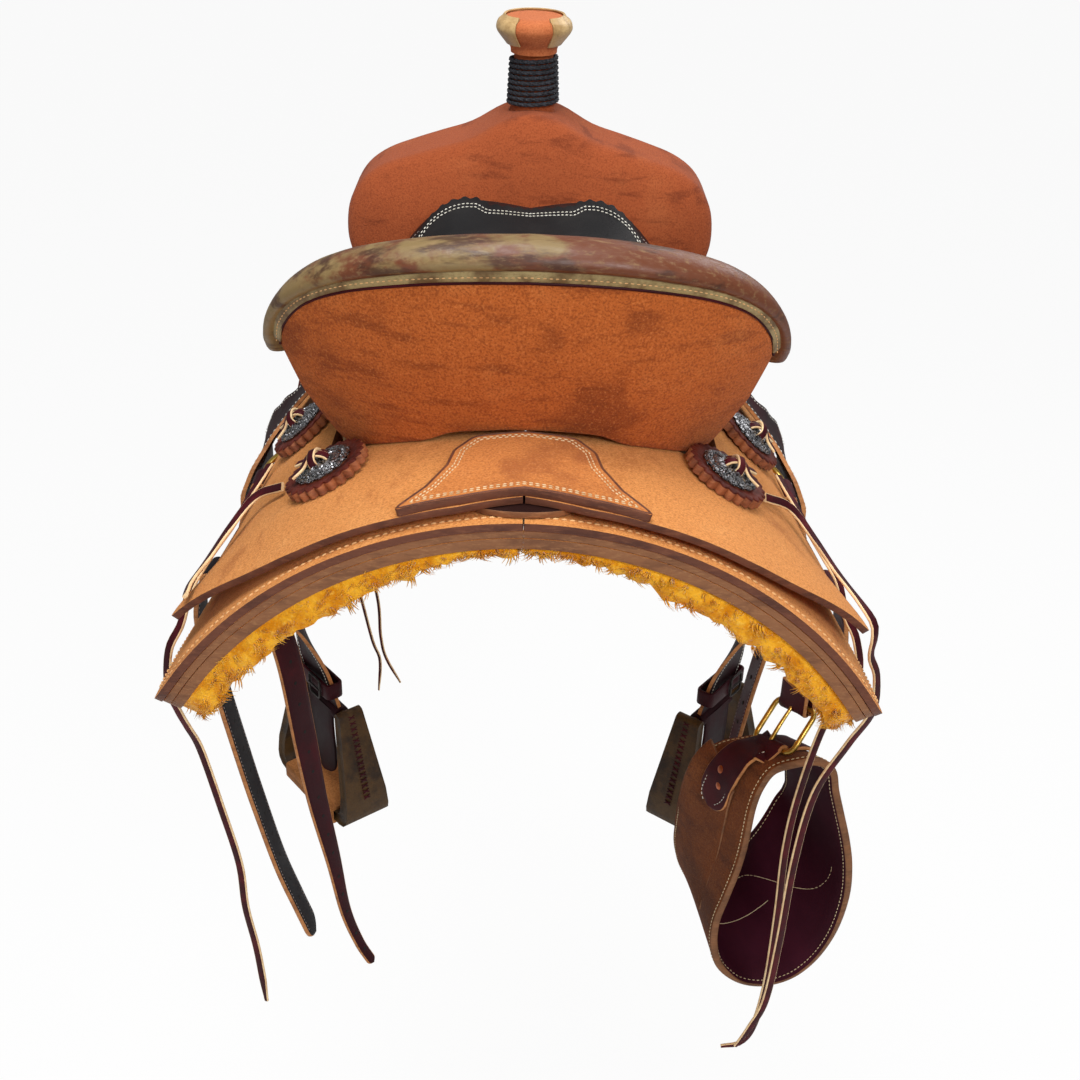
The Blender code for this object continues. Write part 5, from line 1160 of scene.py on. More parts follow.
def make_horn():
    cap = Vector((0, HORN_Y, HORN_FOOT_Z + NECK_HEIGHT + GAP))
    profile = [(0.0232, 0.0), (0.0236, 0.0040), (0.0258, 0.0085), (0.0310, 0.0150), (0.0350, 0.0205),
               (0.0358, 0.0250), (0.0335, 0.0308), (0.0275, 0.0340)]
    smooth = [through([(r, 0, z) for r, z in profile], k / 28) for k in range(29)]
    line = [(0.0, 0.0)] + [(p.x, p.z) for p in smooth] + [(0.018, 0.0338), (0.0, 0.0334)]
    turned("horn_cap_leather", line, cap, CAP_STRETCH, 56, [HORN_LEATHER], replaces=["horn_cap"],
           slot="swell_leather")
    side = smooth[8:-1]
    inner = [(p.x + 0.0004, p.z) for p in side]
    outer = [(p.x + 0.0022, p.z) for p in side]
    outer[-1] = (0.0302, 0.0362)
    outer.append((0.0285, 0.0356))
    turned("horn_cap_rawhide_rim", inner + outer[::-1], cap, CAP_STRETCH, 48, [CAP_RAWHIDE],
           sweep=math.radians(300), start=math.radians(-60), replaces=["horn_cap_rawhide"], slot="rawhide")
    turned("horn_neck", [(0.0, -0.004), (0.0238, -0.004), (0.0236, 0.001), (NECK_FOOT, 0.004), (NECK_TOP, NECK_HEIGHT),
                         (0.0, NECK_HEIGHT)], Vector((0, HORN_Y, HORN_FOOT_Z)), 1.0, 40, [SWELL_LEATHER],
           replaces=["horn_post"], slot="swell_leather")
    points = []
    foot = SWELL[0][1] + 0.0006 + WRAP_CORD / 2
    fine = 48
    for k in range(WRAP_TURNS * fine + 1):
        angle = 2 * math.pi * k / fine + math.pi / 2
        rise = WRAP_PITCH * k / fine
        share = (foot + rise - HORN_FOOT_Z) / NECK_HEIGHT
        radius = NECK_FOOT + (NECK_TOP - NECK_FOOT) * share + 0.0006 + WRAP_CORD / 2
        points.append(Vector((radius * math.cos(angle), HORN_Y + radius * math.sin(angle), foot + rise)))
    first = points[0] - (points[1] - points[0]).normalized() * WRAP_CORD
    last = points[-1] + (points[-1] - points[-2]).normalized() * WRAP_CORD
    points = [first] + points + [last]
    bm = bmesh.new()
    for strand in range(3):
        line = []
        for i, here in enumerate(points):
            along = (points[min(len(points) - 1, i + 1)] - points[max(0, i - 1)]).normalized()
            out = (here - Vector((0, HORN_Y, here.z))).normalized()
            up = along.cross(out)
            twist = 2 * math.pi * (strand / 3 + i * 0.155)
            line.append(here + (out * math.cos(twist) + up * math.sin(twist)) * WRAP_CORD * 0.22)
        wire(bm, line, WRAP_CORD * 0.30, 6)
    rope = piece("horn_wrap_rope", bm, [CORD], replaces=["horn_wrap"], slot="horn_cord", sharp=180, merge=0)
    tuple(points[0])
    path_length(points)


# Rosettes, conchos and the knots of lace on them

ROSETTES = (
    ("rear_left", -0.155, -0.229), ("rear_right", 0.160, -0.217), ("middle_left", -0.205, -0.068),
    ("middle_right", 0.209, -0.066), ("front_left", -0.192, 0.250), ("front_right", 0.192, 0.250),
)


def rosette_frame(s, y):
    lift = (GAP if y > 0 else JOCKEY_LIFT) + LEATHER + jockey_rise(s, y, 0.0) + 0.0022
    normal = back_normal(s, y)
    along = Vector((0, 1, 0))
    across = along.cross(normal).normalized()
    made = Matrix((across, along, normal)).transposed().to_4x4()
    made.translation = on_back(s, y, lift)
    return made


def ring_of(radius, z, count, wave=0.0, petals=0):
    """A ring with round petals and sharp notches between them."""
    ring = []
    for k in range(count):
        t = 2 * math.pi * k / count
        r = radius + wave * (2 * abs(math.cos(petals * t / 2)) - 1)
        ring.append(Vector((r * math.cos(t), r * math.sin(t), z)))
    return ring


def make_rosette(name, s, y):
    place = rosette_frame(s, y)
    bm = bmesh.new()
    rings = []
    for r, z, wave in ((0.0344, 0.0, 0.0020), (0.0346, 0.0074, 0.0020), (0.0340, 0.0086, 0.0018),
                       (0.0322, 0.0090, 0.0013), (0.0292, 0.0088, 0.0005), (0.0284, 0.0082, 0.0), (0.0240, 0.0082, 0.0)):
        rings.append(ring_of(r, z, 192, wave, 24))
    extrude_through(bm, rings, paint=lambda row, _: 1 if row == 0 else 0)
    bmesh.ops.transform(bm, verts=bm.verts, matrix=place)
    piece("rosette_leather_" + name, bm, [ROSETTE_LEATHER, ROSETTE_EDGE], replaces=["rosette_" + name],
          slot="burgundy_leather", merge=0, sharp=40)
    raised = place @ Matrix.Translation((0, 0, 0.0090 + GAP))
    bm = bmesh.new()
    rings = []
    for r, z, wave in ((0.0244, 0.0, 0.0008), (0.0244, 0.0012, 0.0008), (0.0226, 0.0024, 0.0006), (0.0206, 0.0022, 0.0),
                       (0.0186, 0.0020, 0.0), (0.0172, 0.0034, 0.0), (0.0120, 0.0050, 0.0), (0.0060, 0.0062, 0.0),
                       (0.0010, 0.0066, 0.0)):
        rings.append(ring_of(r, z, 128, wave, 16))
    extrude_through(bm, rings)
    for k in range(24):
        t = 2 * math.pi * k / 24
        bmesh.ops.create_uvsphere(bm, u_segments=8, v_segments=6, radius=0.0013,
                                  matrix=Matrix.Translation((0.0193 * math.cos(t), 0.0193 * math.sin(t), 0.0024)))
    for k in range(8):
        scroll = []
        for n in range(15):
            turn = 2 * math.pi * k / 8 + 0.24 * math.sin(n * 0.42)
            r = 0.0165 - 0.0075 * (1 - math.cos(n * 0.30)) / 2 - 0.0004 * n
            scroll.append(Vector((r * math.cos(turn + 0.035 * n), r * math.sin(turn + 0.035 * n),
                                  0.0068 - 12 * r ** 2)))
        wire(bm, scroll, [0.0008 - 0.00003 * n for n in range(15)], 6)
    bmesh.ops.transform(bm, verts=bm.verts, matrix=raised)
    piece("concho_silver_" + name, bm, [SILVER], replaces=["concho_" + name], slot="silver", merge=0, sharp=40)
    make_knot(name, raised)


def lace_stations(points, up, half=0.004):
    """Stations of a flat lace along points, its face towards up where it can be."""
    found = []
    for i, here in enumerate(points):
        along = (points[min(len(points) - 1, i + 1)] - points[max(0, i - 1)]).normalized()
        face = up[i] if isinstance(up, list) else up
        across = along.cross(face)
        if across.length < 0.05:
            across = found[-1][1]
        if found and across.dot(found[-1][1]) < 0:
            across = -across
        found.append((here, across.normalized(), half))
    return found


def make_knot(name, raised):
    """Lace drawn up through the concho's two slots and tied over its middle."""
    outward = RIGHT if "right" in name else LEFT
    if "front" in name:
        return
    runs = (
        [(-0.009, -0.004, 0.002), (-0.006, -0.003, 0.0085), (0.002, 0.001, 0.0105), (0.009, 0.004, 0.0085), (0.014, 0.006, 0.0070),
         (0.022, 0.010, 0.0060)],
        [(0.004, -0.009, 0.002), (0.004, -0.007, 0.0100), (0.002, 0.001, 0.0135), (0.001, 0.008, 0.0100), (0.001, 0.010, 0.002)],
        [(-0.006, 0.006, 0.002), (-0.002, 0.006, 0.0090), (0.006, -0.001, 0.0115), (0.014, -0.006, 0.0070), (0.024, -0.011, 0.0050)],
    )
    for number, run in enumerate(runs):
        flip = Vector((outward, 1, 1))
        points = [raised @ (Vector(p) * flip) for p in sampled([Vector(p) for p in run], 22)]
        up = (raised.to_3x3() @ Vector((0, 0, 1))).normalized()
        strap(f"knot_{name}_{number + 1}", lace_stations(points, up, 0.0036), 0.0024, [LACE, CREAM_EDGE], columns=2)


# Laces that hang from the conchos

REAR_START = [(0.201, -0.206, 0.0180), (0.230, -0.190, 0.0225), (0.255, -0.212, 0.0220)]
MIDDLE_START = [(0.249, -0.082, 0.0180), (0.268, -0.120, 0.0180)]
STRINGS = (
    ("string_left_rear", LEFT, 0.0040,
     REAR_START + [(0.266, -0.255, 0.0225), (0.266, -0.300, 0.0258), (0.262, -0.328, 0.0262)], []),
    ("string_right_rear", RIGHT, 0.0040,
     REAR_START + [(0.270, -0.250, 0.0230), (0.281, -0.290, 0.0268), (0.292, -0.306, 0.0272),
                   (0.302, -0.309, 0.0215), (0.318, -0.306, 0.0110), (0.342, -0.300, 0.0075)],
     [(0.2900, -0.292, -0.158), (0.2780, -0.280, -0.202), (0.2590, -0.272, -0.262), (0.2510, -0.270, -0.342),
      (0.2485, -0.270, -0.442), (0.2440, -0.270, -0.522), (0.2330, -0.270, -0.560), (0.2210, -0.270, -0.588)]),
    ("string_left_middle", LEFT, 0.0040,
     MIDDLE_START + [(0.276, -0.170, 0.0172), (0.285, -0.220, 0.0192), (0.298, -0.256, 0.0180),
                     (0.318, -0.275, 0.0095), (0.342, -0.281, 0.0075)],
     [(0.2900, -0.279, -0.158), (0.2865, -0.270, -0.190), (0.2830, -0.262, -0.212), (0.2770, -0.254, -0.242),
      (0.2670, -0.248, -0.311), (0.2570, -0.244, -0.383), (0.2560, -0.242, -0.440), (0.2500, -0.240, -0.499),
      (0.2460, -0.240, -0.569)]),
    ("string_right_middle", RIGHT, 0.0040,
     MIDDLE_START + [(0.276, -0.162, 0.0172), (0.285, -0.190, 0.0175), (0.299, -0.214, 0.0170),
                     (0.318, -0.232, 0.0090), (0.342, -0.240, 0.0075)],
     [(0.2870, -0.244, -0.160), (0.2680, -0.238, -0.210), (0.2550, -0.236, -0.290), (0.2500, -0.236, -0.360),
      (0.2510, -0.238, -0.440), (0.2500, -0.240, -0.530), (0.2440, -0.240, -0.590), (0.2330, -0.240, -0.618),
      (0.2130, -0.240, -0.624)]),
    ("string_front_left_a", LEFT, 0.0022,
     [(0.232, 0.292, 0.0085), (0.270, 0.296, 0.0050), (0.310, 0.298, 0.0034), (0.342, 0.300, 0.0038)],
     [(0.2660, 0.300, -0.165), (0.2400, 0.300, -0.270), (0.2100, 0.300, -0.420), (0.1950, 0.300, -0.500),
      (0.1860, 0.300, -0.532), (0.1890, 0.300, -0.581)]),
    ("string_front_left_b", LEFT, 0.0022,
     [(0.232, 0.304, 0.0085), (0.270, 0.310, 0.0050), (0.310, 0.312, 0.0034), (0.342, 0.314, 0.0038)],
     [(0.2640, 0.314, -0.165), (0.2300, 0.312, -0.270), (0.1900, 0.310, -0.423), (0.1850, 0.310, -0.500),
      (0.1790, 0.310, -0.535), (0.1610, 0.310, -0.575)]),
)


def make_strings():
    for name, side, radius, laid, hung in STRINGS:
        route = [on_back(side * s, y, w) for s, y, w in laid] + [Vector((side * x, y, z)) for x, y, z in hung]
        length = path_length(route)
        points = sampled(route, int(length / 0.006))
        up = [back_normal(side * 0.27, p.y) * 0.6 + Vector((0, -0.5, 0.1)) if p.z > -0.14 else Vector((side * 0.35, -0.94, 0.1)) for p in points]
        ups = []
        for i in range(len(up)):
            near = up[max(0, i - 8):i + 9]
            ups.append((sum(near, Vector()) / len(near)).normalized())
        stations = lace_stations(points, ups, radius)
        stations = [(p, a, h * (1 - 0.5 * smoothstep(i / len(stations), 0.94, 1.0)))
                    for i, (p, a, h) in enumerate(stations)]
        lace = strap("lace_" + name[7:], stations, 0.0026 if radius > 0.003 else 0.0022, [LACE, CREAM_EDGE],
                     columns=2, replaces=[name], slot="black_leather")
        path_length(points)


# Fenders, hobble straps and stirrups

HINGE_Y, HINGE_Z = 0.085, 0.045
BOLT_DROP = 0.484
FENDER_SHAPE = [
    (0.056, 0.026), (0.105, 0.030), (0.130, 0.050), (0.155, 0.072), (0.185, 0.080), (0.230, 0.078),
    (0.290, 0.066), (0.340, 0.046), (0.380, 0.034), (0.420, 0.032), (0.4770, 0.032),
]
EDGE_DEPTH = HINGE_Z - (crown_height(0.085) - 0.280 + 0.280 * math.cos(SKIRT_DROP / 0.280))


def skirt_side(depth):
    radius = arch_radius(HINGE_Y)
    centre = crown_height(HINGE_Y) - radius
    z = max(HINGE_Z - depth, centre + radius * math.cos(SKIRT_DROP / radius))
    return math.sqrt(radius ** 2 - (z - centre) ** 2)


def fender_face(reach):
    return skirt_side(reach) + 0.009 * 1.35 - max(0.0, reach - EDGE_DEPTH - 0.04) * math.tan(math.radians(13))


def fender_width(depth):
    for (d0, w0), (d1, w1) in zip(FENDER_SHAPE, FENDER_SHAPE[1:]):
        if depth <= d1:
            return w0 + (w1 - w0) * smoothstep(depth, d0, d1)
    return FENDER_SHAPE[-1][1]


def fender_frame(side, depth):
    turn = math.radians(38) * smoothstep(depth, 0.330, 0.440)
    x = fender_face(depth) + LEATHER / 2
    across = Vector((-side * math.sin(turn), -math.cos(turn), 0))
    outward = Vector((side * math.cos(turn), -math.sin(turn), 0))
    return Vector((side * x, HINGE_Y, HINGE_Z - depth)), across, outward


def bolt_frame(side):
    middle, across, _ = fender_frame(side, BOLT_DROP)
    along = across if across.x > 0 else -across
    made = Matrix((along, Vector((0, 0, 1)).cross(along), Vector((0, 0, 1)))).transposed().to_4x4()
    made.translation = middle
    return made


def fender_place(side, depth, a):
    middle, across, outward = fender_frame(side, depth)
    straight = 1 - smoothstep(depth, 0.28, 0.36)
    place = middle + across * a
    place.x += side * straight * (fender_face(math.hypot(a, depth)) - fender_face(depth))
    return place, outward


def make_fender(side, word):
    body = f"fender_{word}_body"
    rings = []
    for k in range(73):
        depth = 0.056 + (0.4770 - 0.056) * k / 72
        half = fender_width(depth)
        ring = []
        for n in range(15):
            a = half * (2 * n / 14 - 1)
            place, outward = fender_place(side, depth, a)
            ring.append(place + outward * (LEATHER / 2 - 0.0006 * (n in (0, 14))))
        for n in range(14, -1, -1):
            a = half * (2 * n / 14 - 1)
            place, outward = fender_place(side, depth, a)
            ring.append(place - outward * (LEATHER / 2 - 0.0006 * (n in (0, 14))))
        rings.append(ring)
    bm = bmesh.new()
    extrude_through(bm, rings, paint=lambda _, k: 1 if k in (0, 15) else 0)
    frame_of = bolt_frame(side)
    outer, inner, half = 0.0094, 0.0058, 0.032
    eye = []
    for x in (-half, -half + 0.0008, half - 0.0008, half):
        reach = outer - (0.0006 if abs(x) == half else 0.0)
        eye.append([frame_of @ Vector((x, reach * math.cos(t), reach * math.sin(t)))
                    for t in (2 * math.pi * k / 32 for k in range(32))])
    extrude_through(bm, eye)
    tail = []
    for k in range(25):
        z = 0.004 - 0.099 * k / 24
        width = 0.025 * math.sqrt(max(0.03, 1 - max(0.0, (k - 19) / 5.1) ** 2)) if k > 19 else 0.025
        tail.append((frame_of @ Vector((0, -0.0072 - 0.0006 * math.sin(k * 0.3), z)), frame_of.to_3x3() @ Vector((1, 0, 0)), width))
    for ring in (strap_rings(tail, 0.0036),):
        extrude_through(bm, ring)
    piece("fender_leather_" + word, bm, [FENDER_LEATHER, TAN_EDGE], body=body, replaces=["fender_" + word],
          slot="dark_leather", merge=0, sharp=40)
    bm = bmesh.new()
    for edge in (-1, 1):
        places, normals = [], []
        for k in range(96):
            depth = 0.070 + 0.380 * k / 95
            half = fender_width(depth) - 0.006
            place, outward = fender_place(side, depth, edge * half)
            places.append(place + outward * LEATHER / 2)
            normals.append(outward)
        stitch_row(bm, places, normals, 0.0031, 0.0011)
    piece("fender_stitches_" + word, bm, [WHITE_THREAD], body=body, merge=0)


def make_hobble(side, word):
    body = f"fender_{word}_body"
    softened("hobble_strap_" + word, "hobble_leather_" + word, [BURGUNDY, TAN_EDGE], 0.0010, 2, body=body,
             slot="burgundy_leather")
    middle, across, _ = fender_frame(side, 0.450)
    along = across if across.x > 0 else -across
    forward = Vector((0, 0, 1)).cross(along)
    place = Matrix((along, forward, Vector((0, 0, 1)))).transposed().to_4x4()
    place.translation = middle
    bm = bmesh.new()
    y = -0.0128
    corners = rounded([(-0.011, -0.0125, 0.003), (0.011, -0.0125, 0.003), (0.011, 0.0125, 0.003),
                       (-0.011, 0.0125, 0.003)], 4)
    wire(bm, [place @ Vector((p.x + 0.012, y, p.y)) for p in spaced(corners, 0.003)], 0.0014, 8, closed=True)
    wire(bm, [place @ Vector((x, y - 0.0012, 0.0)) for x in (0.0012, 0.006, 0.012, 0.018, 0.0235)], 0.0012, 8)
    piece("hobble_buckle_" + word, bm, [STEEL], body=body, merge=0, sharp=60)


def make_stirrup(side, word):
    body = f"stirrup_{word}_body"
    softened("stirrup_" + word, "stirrup_cover_" + word, [STIRRUP_RAWHIDE], 0.0026, 3, body=body,
             slot="stirrup_rawhide")
    softened("stirrup_tread_" + word, "tread_leather_" + word, [TREAD_SUEDE, TAN_EDGE], 0.0012, 3, body=body,
             slot="tread_leather")
    place = bolt_frame(side)
    bm = bmesh.new()
    for arm in (-1, 1):
        for k in range(15):
            t = k / 14
            x = arm * (0.053 + (0.079 - 0.053) * t + 0.0006)
            z = 0.008 - (0.142 - 0.045) * t
            deep = 0.031 + (0.058 - 0.031) * t
            here = place @ Vector((x, 0, z))
            out = (place.to_3x3() @ Vector((arm, 0, 0.25))).normalized()
            down = (place.to_3x3() @ Vector((arm * 0.026, 0, -0.097))).normalized()
            level = (place.to_3x3() @ Vector((0, 1, 0))).normalized()
            for lean in (-1, 1):
                along = (level + down * 0.5 * lean).normalized()
                frame_of = Matrix((along * 0.0052, out * 0.0011, along.cross(out) * 0.0011)).transposed().to_4x4()
                frame_of.translation = here + out * 0.0006
                GRAIN.press(bm, frame_of)
    piece("stirrup_lacing_" + word, bm, [BURGUNDY], body=body, merge=0)


# Dees, billets, latigo and cinch

DEE_WIRE = 0.0055
STRAP = 0.0042
EYE = DEE_WIRE / 2 + 0.0006 + STRAP / 2
DEE_LOW_W = 0.0100
REAR_DEE_Y, REAR_DEE = -0.165, (0.284, 0.2955, 0.326)
FRONT_DEE_Y, FRONT_DEE = -0.030, (0.242, 0.2660, 0.296)
REAR_BILLET_LEFT = [
    (0.2870, -0.150), (0.2840, -0.190), (0.2770, -0.237), (0.2620, -0.325), (0.2530, -0.374),
    (0.2370, -0.452), (0.2220, -0.505), (0.2130, -0.535),
]
LATIGO = [
    (0.2740, -0.150), (0.2620, -0.210), (0.2410, -0.296), (0.2290, -0.407), (0.2200, -0.490),
    (0.2070, -0.577), (0.1970, -0.654), (0.1830, -0.705), (0.1710, -0.732),
]
OFF_BILLET = [(0.2740, -0.150), (0.2620, -0.210), (0.2450, -0.296), (0.2340, -0.370), (0.2280, -0.420)]


def closed_curve(points, count):
    looped = [points[-1]] + points + points[:2]
    span = len(looped) - 1
    return [through(looped, (1 + k * len(points) / count) / span) for k in range(count)]


def make_dee(name, side, y, top_s, flat_s, low_s):
    wide, narrow = 0.035, 0.033
    low = DEE_WIRE / 2 + GAP
    half = [
        (top_s, 0.0, low), (top_s, wide - 0.010, low), (top_s + 0.003, wide - 0.003, low),
        (flat_s, wide, low + 0.0001), ((flat_s + low_s) / 2, wide, (low + DEE_LOW_W) / 2),
        (low_s - 0.005, narrow, DEE_LOW_W - 0.0008), (low_s, narrow - 0.006, DEE_LOW_W), (low_s, 0.0, DEE_LOW_W),
    ]
    whole = half + [(s, -v, w) for s, v, w in reversed(half[1:-1])]
    points = [on_back(side * s, y + v, w) for s, v, w in whole]
    bm = bmesh.new()
    wire(bm, closed_curve(points, 72), DEE_WIRE / 2, 12, closed=True)
    piece("brass_" + name, bm, [BRASS], replaces=[name], slot="brass", merge=0, sharp=60)


def dee_hinge(side, y, low_s):
    centre = on_back(side * low_s, y, DEE_LOW_W)
    ends = [on_back(side * low_s, y + reach, DEE_LOW_W) for reach in (-0.02, 0.02)]
    along = (ends[1] - ends[0]).normalized()
    out = back_normal(side * low_s, y)
    out = (out - along * out.dot(along)).normalized()
    down = along.cross(out)
    down = down if down.z < 0 else -down
    return centre, along, down, out


def turn_round(centre, down, out, reach, start, steps=14):
    found = [centre - out * reach + down * start, centre - out * reach + down * (start * 0.6),
             centre - out * reach + down * 0.003]
    for k in range(steps + 1):
        angle = math.pi * k / steps
        found.append(centre - out * reach * math.cos(angle) - down * reach * math.sin(angle))
    return found


def hanging_strap(node, side, y, low_s, path, half_width, turn, taper, materials, body, hole=None, pitch=0.028,
                  thread=None):
    centre, along, down, out = dee_hinge(side, y, low_s)
    stations = [(p, along, half_width) for p in turn_round(centre, down, out, EYE, 0.011)]
    line = [stations[-1][0]] + [Vector((side * x, y, z)) for x, z in path]
    count = 8 * len(path) + 1
    for k, place in enumerate(sampled(line, count)[1:], 1):
        share = k / (count - 1)
        angle = turn * smoothstep(share, 0.02, 0.30)
        level = Vector((side * math.sin(angle), math.cos(angle), 0))
        level = along.lerp(level, smoothstep(share, 0.0, 0.15)).normalized()
        stations.append((place, level, half_width * (1 - taper * smoothstep(share, 0.45, 1.0))))
    end, before = stations[-1][0], stations[-2][0]
    ahead = (end - before).normalized()
    level, width = stations[-1][1], stations[-1][2]
    body_stations = stations[17:]
    for k in range(1, 9):
        reach = 0.98 * k / 8
        stations.append((end + ahead * width * reach, level, width * math.sqrt(max(0.03, 1 - reach ** 2))))
    slot = {"rear_billet_left": "black_leather"}.get(node, "burgundy_leather")
    strap(node + "_leather", stations, STRAP, materials, body=body, replaces=[node], slot=slot)
    trim_strap(node, body_stations, hole, pitch, thread, body)


def trim_strap(node, stations, hole, pitch, thread, body):
    """Painted shade plugging the punched holes down a strap's middle, and a row of thread inside each edge."""
    places = [p for p, _, _ in stations]
    faces = []
    for i in range(len(stations)):
        run = stations[min(len(stations) - 1, i + 1)][0] - stations[max(0, i - 1)][0]
        faces.append(run.cross(stations[i][1]).normalized())
    if hole:
        bm = bmesh.new()
        travelled = 0.0
        for i in range(1, len(stations) - 2):
            before = travelled
            travelled += (places[i] - places[i - 1]).length
            if travelled > 0.10 and int(travelled / pitch) > int(before / pitch):
                frame_of = faces[i].to_track_quat("Z", "Y").to_matrix().to_4x4()
                frame_of.translation = places[i]
                # Each hole is a near-black plug of painted shade through the strap.
                bmesh.ops.create_cone(bm, cap_ends=True, segments=14, radius1=hole, radius2=hole,
                                      depth=STRAP + 0.0016, matrix=frame_of)
        piece(node + "_holes", bm, [PAINTED_HOLE_SHADE], body=body, merge=0)
    if thread:
        bm = bmesh.new()
        for edge in (-1, 1):
            for face in (-1, 1):
                line = [p + level.normalized() * edge * (half - 0.0040) + normal * face * STRAP / 2
                        for (p, level, half), normal in zip(stations, faces)]
                count = int(path_length(line) / 0.0045)
                spots = sampled(line, count)
                normals = [faces[min(len(faces) - 1, round(k * (len(faces) - 1) / (count - 1)))] * face
                           for k in range(count)]
                stitch_row(bm, spots, normals, 0.0030, 0.0009)
        piece(node + "_stitches", bm, [thread], body=body, merge=0)


CINCH_Y = -0.205
CINCH_RIM = [
    (0.257, -0.285), (0.238, -0.294), (0.228, -0.314), (0.223, -0.338), (0.221, -0.367), (0.219, -0.393),
    (0.215, -0.420), (0.208, -0.453), (0.201, -0.486), (0.201, -0.518), (0.209, -0.547), (0.228, -0.568),
    (0.250, -0.575), (0.273, -0.570), (0.292, -0.556), (0.309, -0.530), (0.321, -0.494), (0.326, -0.450),
    (0.323, -0.411), (0.316, -0.378), (0.306, -0.344), (0.298, -0.317), (0.292, -0.293), (0.278, -0.282),
]
CINCH_LEAN = [
    (27, -19, 0.085), (31, -15, 0.105), (22, -21, 0.132), (5, -13, 0.140), (14, 20, 0.142), (27, 32, 0.144),
    (20, 0, 0.130), (20, -19, 0.095),
]
CINCH_THICK = 0.0075


def width_direction(turn, rise):
    turn, rise = math.radians(turn), math.radians(rise)
    return Vector((-math.sin(turn) * math.cos(rise), math.cos(turn) * math.cos(rise), math.sin(rise)))


def cinch_sections(count):
    line = closed_curve([Vector((x, CINCH_Y, z)) for x, z in CINCH_RIM], count)
    leans = closed_curve([Vector(lean) for lean in CINCH_LEAN], count)
    middles = [here + width_direction(lean.x, lean.y) * lean.z / 2 for here, lean in zip(line, leans)]
    heart = sum(middles, Vector()) / len(middles)
    found = []
    for i, (middle, lean) in enumerate(zip(middles, leans)):
        along = width_direction(lean.x, lean.y)
        ahead = (middles[(i + 1) % len(middles)] - middles[i - 1]).normalized()
        found.append((middle, along, lean.z / 2, along.cross(ahead).normalized()))
    if sum((middle - heart).dot(outward) for middle, _, _, outward in found) < 0:
        found = [(middle, along, half, -outward) for middle, along, half, outward in found]
    return found


CINCH_ALONG = width_direction(27, -19)
CINCH_ACROSS = Vector((CINCH_ALONG.y, -CINCH_ALONG.x, 0)).normalized()
CINCH_UP = CINCH_ACROSS.cross(CINCH_ALONG)
LOW_BAR = Vector((0.239, -0.170, -0.2915))
HIGH_BAR = LOW_BAR + 0.0467 * (0.72 * CINCH_ACROSS + 0.694 * CINCH_UP)


def make_cinch():
    sections = cinch_sections(144)
    rings = []
    t = CINCH_THICK / 2
    for middle, along, half, outward in sections:
        ring = []
        for k in range(9):
            a = 2 * k / 8 - 1
            ring.append(middle + along * (half - 0.0014) * a - outward * t)
        ring += [middle + along * (half - 0.0003) - outward * t * 0.75, middle + along * half,
                 middle + along * (half - 0.0003) + outward * t * 0.75]
        for k in range(9):
            a = 1 - 2 * k / 8
            ring.append(middle + along * (half - 0.0014) * a + outward * t)
        ring += [middle - along * (half - 0.0003) + outward * t * 0.75, middle - along * half,
                 middle - along * (half - 0.0003) - outward * t * 0.75]
        rings.append(ring)
    bm = bmesh.new()
    extrude_through(bm, rings + rings[:1], False, lambda _, k: 2 if k == 0 or 9 <= k <= 12 or k > 20 else int(k <= 8))
    piece("cinch_leather", bm, [CINCH_SUEDE, LINING, CINCH_EDGE], body="cinch_body", replaces=["flank_cinch"],
          slot="lining_leather", merge=1e-5)
    bm = bmesh.new()
    for face in (-1, 1):
        for edge in (-1, 1):
            loop = [middle + along * edge * (half - 0.0055) + outward * face * t
                    for middle, along, half, outward in sections]
            spots = spaced(loop, 0.0046)
            normals = []
            for k in range(len(spots)):
                normals.append(sections[round(k * len(sections) / len(spots)) % len(sections)][3] * face)
            stitch_row(bm, spots, normals, 0.0032, 0.0010)
    for start, end, reach in ((78, 104, 0.75), (60, 84, -0.1)):
        line, normals = [], []
        for k in range(70):
            share = k / 69
            middle, along, half, outward = sections[int(start + (end - start) * share)]
            ahead = sections[min(len(sections) - 1, int(start + (end - start) * share) + 1)][0]
            part = (start + (end - start) * share) % 1
            here = middle.lerp(ahead, part) + along * half * (reach * math.cos(math.pi * share) * 0.8) - outward * t
            line.append(here)
            normals.append(-outward)
        stitch_row(bm, line, normals, 0.0026, 0.0008)
    piece("cinch_stitches", bm, [CREAM_THREAD], body="cinch_body", merge=0)
    patch = []
    for k in range(11, 48):
        middle, along, half, outward = sections[k]
        patch.append((middle + along * half * 0.22 + outward * (t + 0.0011), along, half * (0.66 - 0.004 * (k - 11))))
    strap("cinch_end_lap", patch, 0.0026, [CINCH_SUEDE, CINCH_EDGE], body="cinch_body")


